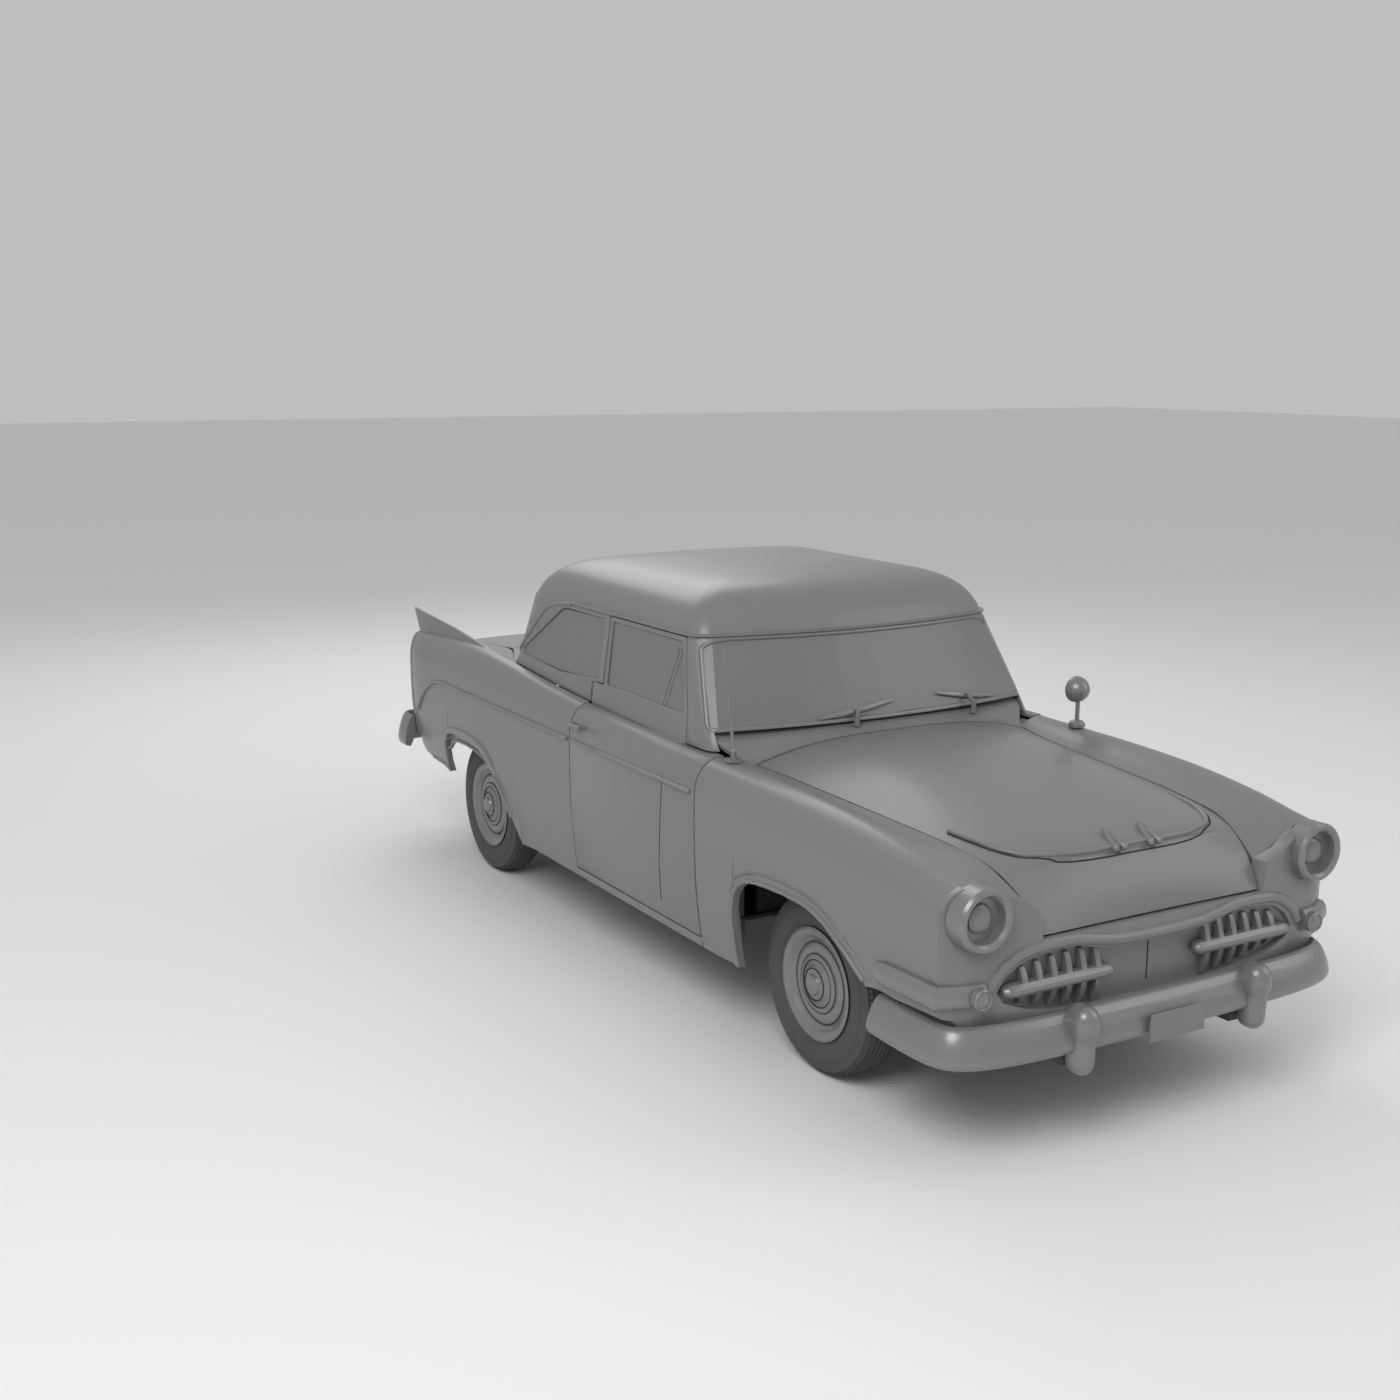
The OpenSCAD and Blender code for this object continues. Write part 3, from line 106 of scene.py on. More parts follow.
def material(name, colour, roughness, metallic=0.0, grain=None, bump=0.0, spread=0.0, **more):
    """A finish with an even colour, and a grain in millimetres that varies roughness and relief."""
    m = bpy.data.materials.new(name)
    m.use_nodes = True
    tree = m.node_tree
    shader = tree.nodes["Principled BSDF"]
    shader.inputs["Base Color"].default_value = linear(colour)
    shader.inputs["Roughness"].default_value = roughness
    shader.inputs["Metallic"].default_value = metallic
    for key, value in more.items():
        shader.inputs[key.replace("_", " ")].default_value = value
    if grain:
        place = node(tree, "ShaderNodeTexCoord")
        at = [("Vector", place, "Object")]
        noise = node(tree, "ShaderNodeTexNoise", at, Scale=1000 / grain, Detail=3.0)
        if spread:
            low, high = roughness - spread, roughness + spread
            ramp = node(tree, "ShaderNodeMapRange", [("Value", noise, "Fac")], To_Min=low, To_Max=high)
            tree.links.new(ramp.outputs["Result"], shader.inputs["Roughness"])
        if bump:
            height = [("Height", noise, "Fac")]
            relief = node(tree, "ShaderNodeBump", height, Strength=1.0, Distance=bump * MM)
            tree.links.new(relief.outputs["Normal"], shader.inputs["Normal"])
    return m


def make_materials(look):
    """One material for each finish on the car."""
    return {
        # Sprayed enamel, rubbed down to a satin: soft wide highlights, faint spray texture of about 3 mm
        "body_paint": material(
            "satin_enamel", look.paint, 0.38, grain=3.0, bump=0.02, spread=0.05,
            Coat_Weight=0.25, Coat_Roughness=0.22,
        ),
        # Brushed-on chassis enamel: dull and a little uneven, drops of about 12 mm
        "chassis_paint": material("chassis_enamel", look.chassis, 0.62, grain=12.0, bump=0.15, spread=0.1),
        # Painted cast iron: sand texture of about 2 mm
        "cast_metal": material("cast_iron", "#595959", 0.66, grain=2.5, bump=0.3, spread=0.08),
        # Mild steel tube, dull from heat
        "bare_steel": material("mild_steel", "#7D7D7D", 0.48, metallic=0.7, grain=20.0, spread=0.12),
        # Toughened glass painted on its inner face: even grey with a soft gloss
        "grey_glass": material("backed_glass", look.glass, 0.34, Coat_Weight=0.2, Coat_Roughness=0.22),
        # Plated steel with a satin nickel finish: brighter and tighter highlights than the paint
        "bright_trim": material("satin_nickel", look.trim, 0.3, metallic=0.35, grain=40.0, spread=0.05),
        # Vulcanised rubber: matt, fine grain of about 1 mm
        "tyre_rubber": material("rubber", look.tyre, 0.74, grain=1.5, bump=0.05, spread=0.06),
        # Woven wool cloth, threads drawn at 4 mm so that they show
        "seat_cloth": weave("wool_cloth", look.cloth, 4.0),
        # Moulded phenolic: even with a dull gloss
        "cabin_plastic": material("phenolic", "#4F4F4F", 0.45, grain=6.0, spread=0.05),
        # Rubber seals round the glass
        "seal": material("seal_rubber", "#4A4A4A", 0.6),
        # Painted shade: dark lines for the shadow in a joint between two sheets, ahead of the hood's lip,
        # and in the grooves of the doors, grille and wheel covers
        "joint": material("painted_shade_line", "#2E2E2E", 0.8),
        # Rubber-backed carpet: matt and fuzzy, tufts of about 5 mm
        "carpet": material("carpet", "#454545", 0.95, grain=5.0, bump=0.6),
    }


def weave(name, colour, pitch):
    """Plain weave with threads at the given pitch in millimetres."""
    m = material(name, colour, 0.88, Sheen_Weight=0.25)
    tree = m.node_tree
    shader = tree.nodes["Principled BSDF"]
    place = node(tree, "ShaderNodeTexCoord")
    at = [("Vector", place, "Object")]
    scale = 1000 / pitch / 20 * math.pi
    waves = []
    for axis in ("X", "Z"):
        waves.append(node(tree, "ShaderNodeTexWave", at, bands_direction=axis, Scale=scale, Distortion=0.4))
    sum_of = node(tree, "ShaderNodeMath", [(0, waves[0], "Fac"), (1, waves[1], "Fac")], operation="ADD")
    relief = node(tree, "ShaderNodeBump", [("Height", sum_of, "Value")], Strength=0.6, Distance=0.8 * MM)
    tree.links.new(relief.outputs["Normal"], shader.inputs["Normal"])
    return m


FINISH = {}


# Modelling helpers


def pick(*objs):
    """Selects only these objects and makes the last one active."""
    bpy.ops.object.select_all(action="DESELECT")
    for o in objs:
        o.select_set(True)
    bpy.context.view_layer.objects.active = objs[-1]
    return objs[-1]


TREES = {}


def meet(names, start, heading):
    """The place where a ray first meets one of these CAD nodes, or None."""
    hits = []
    for name in names:
        if name not in TREES:
            me = NODES[name].data
            corners = [v.co for v in me.vertices]
            TREES[name] = BVHTree.FromPolygons(corners, [tuple(p.vertices) for p in me.polygons])
        place, _, _, distance = TREES[name].ray_cast(start, heading)
        if place is not None:
            hits.append((distance, tuple(place)))
    return Vector(min(hits)[1]) if hits else None


def on_side(names, s, z, side):
    """The place on the car's side at a station and height."""
    return meet(names, Vector((side * 1.4, station(s), z * MM)), Vector((-side, 0, 0)))


def on_top(names, x, s):
    """The place on the car's top at an x and a station."""
    return meet(names, Vector((x * MM, station(s), 2.5)), Vector((0, 0, -1)))


def on_front(names, x, z):
    """The place on the car's front at an x and a height."""
    return meet(names, Vector((x * MM, -3.2, z * MM)), Vector((0, 1, 0)))


def on_rear(names, x, z):
    """The place on the car's rear at an x and a height."""
    return meet(names, Vector((x * MM, 3.2, z * MM)), Vector((0, -1, 0)))


def fair(points, steps=6):
    """A smooth line through points of any dimension."""
    out = []
    for k in range(len(points) - 1):
        a, b, c, d = (points[min(max(k + j, 0), len(points) - 1)] for j in (-1, 0, 1, 2))
        for i in range(steps):
            t = i / steps
            spot = []
            for p, q, r, w in zip(a, b, c, d):
                square = (2 * p - 5 * q + 4 * r - w) * t * t
                spot.append(0.5 * (2 * q + (r - p) * t + square + (3 * q - p - 3 * r + w) * t**3))
            out.append(tuple(spot))
    return out + [tuple(points[-1])]


def between(a, b, steps):
    """Points along a straight line from a to b."""
    return [tuple(p + (q - p) * t / steps for p, q in zip(a, b)) for t in range(steps + 1)]


def edit(mode=None):
    """Opens the active mesh for editing with everything selected."""
    bpy.ops.object.mode_set(mode="EDIT")
    if mode:
        bpy.ops.mesh.select_mode(type=mode)
    bpy.ops.mesh.select_all(action="SELECT")


def close():
    """Leaves edit mode."""
    bpy.ops.object.mode_set(mode="OBJECT")


def clear_selection(me):
    """Deselects every corner, edge and face of a mesh."""
    for group in (me.vertices, me.edges, me.polygons):
        group.foreach_set("select", [False] * len(group))


def choose(obj, faces=None, verts=None):
    """In edit mode, selects the faces or corners whose place and normal pass a test."""
    close()
    me = obj.data
    clear_selection(me)
    if faces:
        for p in me.polygons:
            p.select = faces(p.center, p.normal)
    if verts:
        for v in me.vertices:
            v.select = verts(v.co, v.normal)
    bpy.ops.object.mode_set(mode="EDIT")
    bpy.ops.mesh.select_mode(type="FACE" if faces else "VERT")


def choose_edges(obj, test):
    """In edit mode, selects the edges whose middle and two face normals pass a test."""
    close()
    me = obj.data
    sides = {}
    for p in me.polygons:
        for key in p.edge_keys:
            sides.setdefault(key, []).append(p.normal.copy())
    clear_selection(me)
    for e in me.edges:
        both = sides.get(e.key, ())
        middle = (me.vertices[e.vertices[0]].co + me.vertices[e.vertices[1]].co) / 2
        e.select = len(both) == 2 and test(middle, *both)
    bpy.ops.object.mode_set(mode="EDIT")
    bpy.ops.mesh.select_mode(type="EDGE")


def apply_modifier(obj, kind, **settings):
    """Adds a modifier and applies it."""
    m = obj.modifiers.new(kind.title(), kind)
    for key, value in settings.items():
        setattr(m, key, value)
    pick(obj)
    bpy.ops.object.modifier_apply(modifier=m.name)


def settle(obj):
    """Moves an object's place into its mesh."""
    pick(obj)
    bpy.ops.object.transform_apply(location=True, rotation=True, scale=True)
    return obj


def smooth(obj, degrees=35):
    """Shades smoothly over edges that turn by less than an angle."""
    pick(obj)
    bpy.ops.object.shade_smooth_by_angle(angle=math.radians(degrees))


def finish(obj, body, slot, look=None, replaced=()):
    """Gives a finished piece the material of its look, or else of its slot, joins it to its body and hides
    the nodes that it stands for.
    """
    obj.data.materials.clear()
    obj.data.materials.append(FINISH[look or slot])
    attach(obj, body)
    if replaced:
        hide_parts(*replaced)
    return obj


def copy_of(name):
    """A merged copy of a CAD node's mesh, as a new object."""
    obj = bpy.data.objects.new(name + "_skin", NODES[name].data.copy())
    bpy.context.scene.collection.objects.link(obj)
    obj.data.materials.clear()
    pick(obj)
    edit("VERT")
    bpy.ops.mesh.customdata_custom_splitnormals_clear()
    bpy.ops.mesh.remove_doubles(threshold=2e-5)
    return obj


def smooth_panel(name, sharp):
    """Replaces a panel by a smooth one: quads from its triangles, creased where sheets turn, subdivided."""
    obj = copy_of(name)
    bpy.ops.mesh.tris_convert_to_quads(face_threshold=math.radians(30), shape_threshold=math.radians(80))
    bpy.ops.mesh.select_all(action="DESELECT")
    bpy.ops.mesh.select_mode(type="EDGE")
    bpy.ops.mesh.edges_select_sharp(sharpness=math.radians(sharp))
    bpy.ops.transform.edge_crease(value=1.0)
    close()
    apply_modifier(obj, "SUBSURF", levels=2, render_levels=2)
    smooth(obj, 40)
    return finish(obj, BODY_OF[name], SLOT_OF[name], replaced=[name])


def bevel_edges(obj, width, sharp):
    """Rounds the edges that turn by more than an angle."""
    turn = math.radians(sharp)
    apply_modifier(obj, "BEVEL", width=width, segments=2, limit_method="ANGLE", angle_limit=turn)


def round_edges(name, width, sharp=28):
    """Replaces a node by one with rounded edges."""
    obj = copy_of(name)
    bpy.ops.mesh.dissolve_limited(angle_limit=math.radians(1))
    close()
    bevel_edges(obj, width * MM, sharp)
    smooth(obj, 40)
    return finish(obj, BODY_OF[name], SLOT_OF[name], replaced=[name])


def rim_of(name, outward):
    """The edge loops of a pane's outer face, as lists of points."""
    me = NODES[name].data
    key = [tuple(round(c, 5) for c in v.co) for v in me.vertices]
    count = {}
    for p in me.polygons:
        if outward(p.center, p.normal):
            ring = [key[v] for v in p.vertices]
            for a, b in zip(ring, ring[1:] + ring[:1]):
                if (b, a) in count:
                    del count[(b, a)]
                else:
                    count[(a, b)] = True
    step = dict(count.keys())
    loops = []
    while step:
        start, here = step.popitem()
        loop = [start]
        while here != start and here in step:
            loop.append(here)
            here = step.pop(here)
        loops.append([Vector(p) for p in loop])
    return [loop for loop in loops if len(loop) > 6]


def tube(name, points, radius, cyclic=False):
    """A round strip along points, as a mesh."""
    data = bpy.data.curves.new(name, "CURVE")
    data.dimensions = "3D"
    data.bevel_depth = radius
    data.bevel_resolution = 2
    data.use_fill_caps = not cyclic
    line = data.splines.new("POLY")
    line.points.add(len(points) - 1)
    for p, q in zip(line.points, points):
        p.co = (*q, 1.0)
    line.use_cyclic_u = cyclic
    obj = bpy.data.objects.new(name, data)
    bpy.context.scene.collection.objects.link(obj)
    pick(obj)
    bpy.ops.object.convert(target="MESH")
    obj = bpy.context.view_layer.objects.active
    smooth(obj, 60)
    return obj


def join(name, objs):
    """One object from several."""
    pick(*objs)
    if len(objs) > 1:
        bpy.ops.object.join()
    obj = bpy.context.view_layer.objects.active
    obj.name = name
    return obj


def bead(name, points, radius, body, slot, look=None):
    """A strip along those of the points that lie on a panel."""
    return finish(tube(name, [p for p in points if p], radius), body, slot, look)


def smooth_copy(name):
    """Replaces a turned node by a copy that shades smoothly."""
    obj = copy_of(name)
    close()
    smooth(obj)
    return finish(obj, BODY_OF[name], SLOT_OF[name], replaced=[name])


def lathe(name, profile, steps):
    """Spins a closed profile of (radius, x) round the x axis."""
    me = bpy.data.meshes.new(name)
    links = [(k, (k + 1) % len(profile)) for k in range(len(profile))]
    me.from_pydata([(x, 0, q) for q, x in profile], links, [])
    obj = bpy.data.objects.new(name, me)
    bpy.context.scene.collection.objects.link(obj)
    pick(obj)
    edit("VERT")
    bpy.ops.mesh.spin(steps=steps, angle=math.tau, center=(0, 0, 0), axis=(1, 0, 0))
    bpy.ops.mesh.select_all(action="SELECT")
    bpy.ops.mesh.remove_doubles(threshold=1e-5)
    bpy.ops.mesh.normals_make_consistent(inside=False)
    close()
    return obj


def copy_to(name, source, place, turn=0.0):
    """A copy of a finished shape, with its own mesh, turned about z and moved to a place."""
    obj = bpy.data.objects.new(name, source.data.copy())
    bpy.context.scene.collection.objects.link(obj)
    obj.rotation_euler = (0, 0, turn)
    obj.location = place
    return settle(obj)


def box(name, centre, size, radius):
    """A block with rounded edges: centre as x, station, z and size, in millimetres."""
    bpy.ops.object.select_all(action="DESELECT")
    bpy.ops.mesh.primitive_cube_add(size=1, location=place_of(centre))
    obj = bpy.context.object
    obj.name = name
    obj.scale = [c * MM for c in size]
    settle(obj)
    edit("EDGE")
    bpy.ops.mesh.bevel(offset=radius, segments=3, affect="EDGES")
    close()
    smooth(obj, 40)
    return obj


def pad(name, centre, size, tilt, rest):
    """A stuffed cushion: a rounded block blown up as cloth, flat where it rests, with sewn channels."""
    scene = bpy.context.scene
    sizes = scene.sedan_sizes
    middle = place_of(centre)
    obj = box(name, (0, station_of(Vector()), 0), size, PAD_EDGE)
    obj.rotation_euler = (math.radians(tilt), 0, 0)
    obj.location = middle
    settle(obj)
    down = Matrix.Rotation(math.radians(tilt), 3, "X") @ Vector(rest)
    depth = abs(Vector(size).dot(Vector(rest))) * MM / 2
    obj.data.remesh_voxel_size = sizes.voxel
    pick(obj)
    bpy.ops.object.voxel_remesh()
    flat = [v.co.copy() for v in obj.data.vertices]
    cloth = obj.modifiers.new("Cloth", "CLOTH")
    cloth.settings.use_pressure = True
    cloth.settings.uniform_pressure_force = PAD_PRESSURE
    cloth.settings.effector_weights.gravity = 0
    for step in range(1, PAD_STEPS + 1):
        scene.frame_set(step)
    bpy.ops.object.modifier_apply(modifier=cloth.name)
    for v, p in zip(obj.data.vertices, flat):
        move = v.co - p
        if (p - middle).dot(down) > depth - PAD_REST:
            v.co = p
        elif move.length > sizes.swell:
            v.co = p + move.normalized() * sizes.swell
    scene.frame_set(1)
    apply_modifier(obj, "SUBSURF", levels=1, render_levels=1)

    def in_channel(p, n):
        """Places on the side away from the rest, in a band at every channel."""
        across = abs((p.x / sizes.channel) % 1 - 0.5) * sizes.channel
        return n.dot(down) < -0.8 and across < CHANNEL_W / 2

    choose(obj, verts=in_channel)
    bpy.ops.transform.shrink_fatten(value=-CHANNEL_DEPTH)
    close()
    smooth(obj, 50)
    return obj


# Studio: the floor's size and height, the strength of the light all round, and what the lamps aim at
FLOOR_SIZE, FLOOR_Z = 120, -0.001
WORLD_STRENGTH = 0.54
LAMP_AIM = Vector((0, 0, 0.7))
# Lamps: name, place, size in metres, watts
LAMPS = [
    ("key_lamp", (-5.5, -5.0, 6.5), 5.0, 310.0),
    ("fill_lamp", (6.0, -5.5, 5.0), 6.0, 95.0),
    ("rim_lamp", (1.5, 6.5, 6.5), 6.0, 165.0),
]
# Camera fitted to the photograph: place, then yaw, pitch and roll in degrees, and the sensor in millimetres
CAMERA_PLACE = (-4.114, -6.279, 2.563)
CAMERA_TURN = (30.62, -11.41, 0.28)
SENSOR_WIDTH = 36
# Panels made smooth, sheets with rounded edges, small parts made smooth, turned parts
SOFT_PANELS = ("front_fenders", "rear_quarters", "trunk_lid", "cowl", "deck_panel", "roof")
SHEETS = ("door_left", "door_right", "pillars")
BRIGHT_PARTS = (
    "front_bumper", "rear_bumper", "quarter_trim", "hood_ornaments", "wipers",
    "door_trim_left", "door_trim_right", "parking_lamps",
)
TURNED_PARTS = ("headlamps", "tail_lamps", "side_mirror", "antenna", "steering_wheel")
# Nose panel: lowest places of the rounding on top and at the sides, its distance from the lamps,
# and the width of the rounding on its other edges
NOSE_TOP_Z, NOSE_SIDE_Z = 0.7, 0.52
LAMP_CLEAR = 0.004
NOSE_EDGE = 0.004
# A pane's seal lies this many frame radii inside its frame
SEAL_INSET = 1.2
# Seal under the windshield: x across, stations where the cowl may end, and how far the seal is moved off it
BASE_X, BASE_REACH = range(-680, 681, 40), range(600, 800, 2)
BASE_MOVE = Vector((0, 0.004, 0.002))
# Lines on the panels: the hood's lip from its middle out (x, station), the drip rail (station, z)
HOOD_LINE = [
    (0, -764), (106, -763), (200, -757), (286, -744), (370, -718),
    (436, -672), (480, -600), (506, -510), (522, -416),
]
DRIP_LINE = [
    (1992, 1466), (2110, 1456), (2222, 1426), (2300, 1368), (2366, 1301), (2430, 1240), (2486, 1190),
]
# The hood's shadow line lies this far ahead of its lip, and is this many times as wide
SHADOW_AHEAD, SHADOW_WIDER = 11, 1.022
# Vent bars on the door glass: top and foot (station, z), and how far each lies ahead or behind
VENT_TOP, VENT_FOOT, VENT_STEPS = (1000, 1452), (1092, 1176), 6
VENT_SHIFT = 12
# Scored line on the door, drawn as a dark line of painted shade: top and foot (station, z)
SCORE_TOP, SCORE_FOOT, SCORE_STEPS = (884, 940), (932, 410), 8
# Heights down the seam in the middle of the grille panel, drawn as a dark line of painted shade
GRILLE_SEAM = range(640, 480, -16)
# Wheel arches: end of the car, panel, station of the axle, angles from the rear round to the front
ARCHES = [("front", "front_fenders", 0, (4, 158)), ("rear", "rear_quarters", 2896, (8, 172))]
ARCH_STEPS = 40
# Where an arch's edge may lie, out from the axle, and how far out the line of its flange lies from the edge
ARCH_REACH = range(300, 620, 2)
FLANGE = 38
# The lip lies this many of its radii out from the edge
LIP_SET = 0.7
# The outer skin lies farther than this from the car's middle
OUTER_X = 0.75
# Blank plates: name, node, ray, height where it meets the node, distance behind that place,
# height of the middle, size
PLATES = [
    ("front_plate", "front_bumper", on_front, 396, -2.5, 392, (250, 4, 97)),
    ("rear_plate", "trunk_lid", on_rear, 830, 4, 826, (305, 4, 150)),
]
PLATE_EDGE = 0.0015
HANDLE_Z = 952
# Tyre's side, out from the rim: radius, and how far it lies in from the widest place
TYRE_SIDE = [
    (0.192, 0.024), (0.204, 0.016), (0.222, 0.009), (0.226, 0.004), (0.240, 0.004),
    (0.244, 0.0005), (0.264, 0), (0.284, 0.001), (0.287, 0.004),
]
# Tyre's shoulder: how far it lies in from the tread, and in from the widest place
TYRE_SHOULDER = [(0.040, 0.005), (0.018, 0.012), (0.005, 0.026), (0, 0.040)]
# Grooves on each half of the tread: distance from the middle, half widths at the tread and at the bottom
TYRE_GROOVES = (0.031, 0.010)
GROOVE_TOP, GROOVE_FOOT = 0.003, 0.002
TYRE_STEPS = 96
# Shoulder blocks: bounds in from the widest place and in from the tread, then margin and depth of each
BLOCK_X, BLOCK_R = (0.045, 0.016), (0.016, 0.001)
BLOCK_INSET, BLOCK_DEPTH = 0.002, 0.004
# Rings on the wheel covers, dark lines of painted shade in their grooves: radius, and distance outwards
# from the wheel's middle
RINGS = [(0.059, 0.0805), (0.088, 0.068), (0.109, 0.063), (0.150, 0.055), (0.178, 0.066)]
RING_STEPS = 48
# Cushions: name, node, centre, size, tilt in degrees, side that rests on something
PADS = [
    ("front_cushion", "front_seat", (0, 1350, 640), (1290, 460, 120), 4, (0, 0, -1)),
    ("front_backrest", "front_seat", (0, 1608, 875), (1270, 90, 390), -9, (0, 1, 0)),
    ("rear_cushion", "rear_seat", (0, 2110, 610), (1130, 300, 110), 4, (0, 0, -1)),
    ("rear_backrest", "rear_seat", (0, 2318, 850), (1130, 90, 370), -22, (0, 1, 0)),
]
# Cushions: rounding of the block's edges, then pressure, frames, and the depth of skin that doesn't swell
PAD_EDGE = 0.040
PAD_PRESSURE, PAD_STEPS, PAD_REST = 4, 20, 0.012
# Sewn channels: width and depth
CHANNEL_W, CHANNEL_DEPTH = 0.012, 0.007
# Plinths under the cushions: name, node, centre, size
PLINTHS = [
    ("front_seat_base", "front_seat", (0, 1400, 495), (1220, 380, 156)),
    ("rear_seat_base", "rear_seat", (0, 2120, 484), (1100, 260, 134)),
]
PLINTH_EDGE = 0.012
# Door card before it is laid on the door: middle (x on the left), length and height, then gap and thickness
CARD_MIDDLE, CARD_SIZE = (500, 1180, 680), (0.92, 0.54)
CARD_GAP, CARD_THICK = 0.001, 0.006
# The door's inner face is measured from here (x on the left)
FACE_FROM = (300, 1300, 660)
# Fittings on the door's inner face: name, slot, blocks of depth in from it, station, z, size and edge
FITTINGS = [
    ("armrest", "cabin_plastic", [(36, 1320, 660, (64, 330, 54), 0.018)]),
    (
        "window_crank",
        "bright_trim",
        [
            (26, 1010, 700, (8, 20, 110), 0.003),
            (16, 1010, 740, (28, 30, 30), 0.010),
            (38, 1010, 656, (26, 24, 24), 0.010),
        ],
    ),
]
# Dials on the dashboard: radius and depth of their profile, x of each and height
DIAL = [
    (0.0, 0.005), (0.050, 0.005), (0.053, 0.011), (0.060, 0.011), (0.064, 0.006), (0.065, 0.0), (0.0, 0.0),
]
DIAL_STEPS = 48
DIAL_X, DIAL_Z = (0.255, 0.505), 0.935
# The dashboard's face is measured forwards from here
DASH_FROM = Vector((0, 0.5, 0.93))
# Floor mats: name, centre, size
MATS = [("front_mat", (0, 860, 420), (1300, 400, 8)), ("rear_mat", (0, 1800, 420), (1300, 240, 8))]
SIDES = (("left", 1), ("right", -1))


# Settings


class SedanLook(bpy.types.PropertyGroup):
    """Colours of the car's finishes."""

    paint: bpy.props.StringProperty(
        name="Paint", description="Colour of the body panels", default="#7A7A7A"
    )
    trim: bpy.props.StringProperty(
        name="Trim", description="Colour of bumpers, grille and lamps", default="#868686"
    )
    glass: bpy.props.StringProperty(
        name="Glass", description="Colour of the backed glass", default="#747474"
    )
    tyre: bpy.props.StringProperty(
        name="Tyres", description="Colour of the rubber", default="#4E4E4E"
    )
    cloth: bpy.props.StringProperty(
        name="Cloth", description="Colour of the seats", default="#6C6C6C"
    )
    chassis: bpy.props.StringProperty(
        name="Chassis", description="Colour of frame and axles", default="#484848"
    )


class SedanSizes(bpy.types.PropertyGroup):
    """Sizes of what is added to the solids."""

    seal: bpy.props.FloatProperty(
        name="Seal", description="Radius of the glass seals", default=0.004, unit="LENGTH"
    )
    frame: bpy.props.FloatProperty(
        name="Frame",
        description="Radius of the bright frames round the glass",
        default=0.009,
        unit="LENGTH",
    )
    vent: bpy.props.FloatProperty(
        name="Vent bars", description="Radius of the vent bars", default=0.007, unit="LENGTH"
    )
    rail: bpy.props.FloatProperty(
        name="Drip rail", description="Radius of the drip rails", default=0.009, unit="LENGTH"
    )
    nose: bpy.props.FloatProperty(
        name="Nose",
        description="Width of the rounding on the nose's outer edge",
        default=0.026,
        unit="LENGTH",
    )
    lip: bpy.props.FloatProperty(
        name="Lip", description="Radius of the rolled lips on hood and arches", default=0.009, unit="LENGTH"
    )
    shadow: bpy.props.FloatProperty(
        name="Shadow line",
        description="Radius of the line ahead of the hood's lip",
        default=0.003,
        unit="LENGTH",
    )
    score: bpy.props.FloatProperty(
        name="Score", description="Radius of the scored line on the doors", default=0.002, unit="LENGTH"
    )
    seam: bpy.props.FloatProperty(
        name="Seam", description="Radius of the seam in the grille panel", default=0.0025, unit="LENGTH"
    )
    ring: bpy.props.FloatProperty(
        name="Rings", description="Radius of the lines on the wheel covers", default=0.0022, unit="LENGTH"
    )
    voxel: bpy.props.FloatProperty(
        name="Mesh of the pads",
        description="Size of the pads' faces before they swell",
        default=0.014,
        unit="LENGTH",
    )
    swell: bpy.props.FloatProperty(
        name="Swell", description="How far the pads may swell", default=0.024, unit="LENGTH"
    )
    channel: bpy.props.FloatProperty(
        name="Channels", description="Spacing of the sewn channels", default=0.12, unit="LENGTH"
    )
    tread: bpy.props.FloatProperty(
        name="Tread", description="Depth of the tyres' grooves", default=0.006, unit="LENGTH"
    )
    lens: bpy.props.FloatProperty(
        name="Lens", description="Focal length of the camera", default=44.06, unit="CAMERA"
    )


# Operators


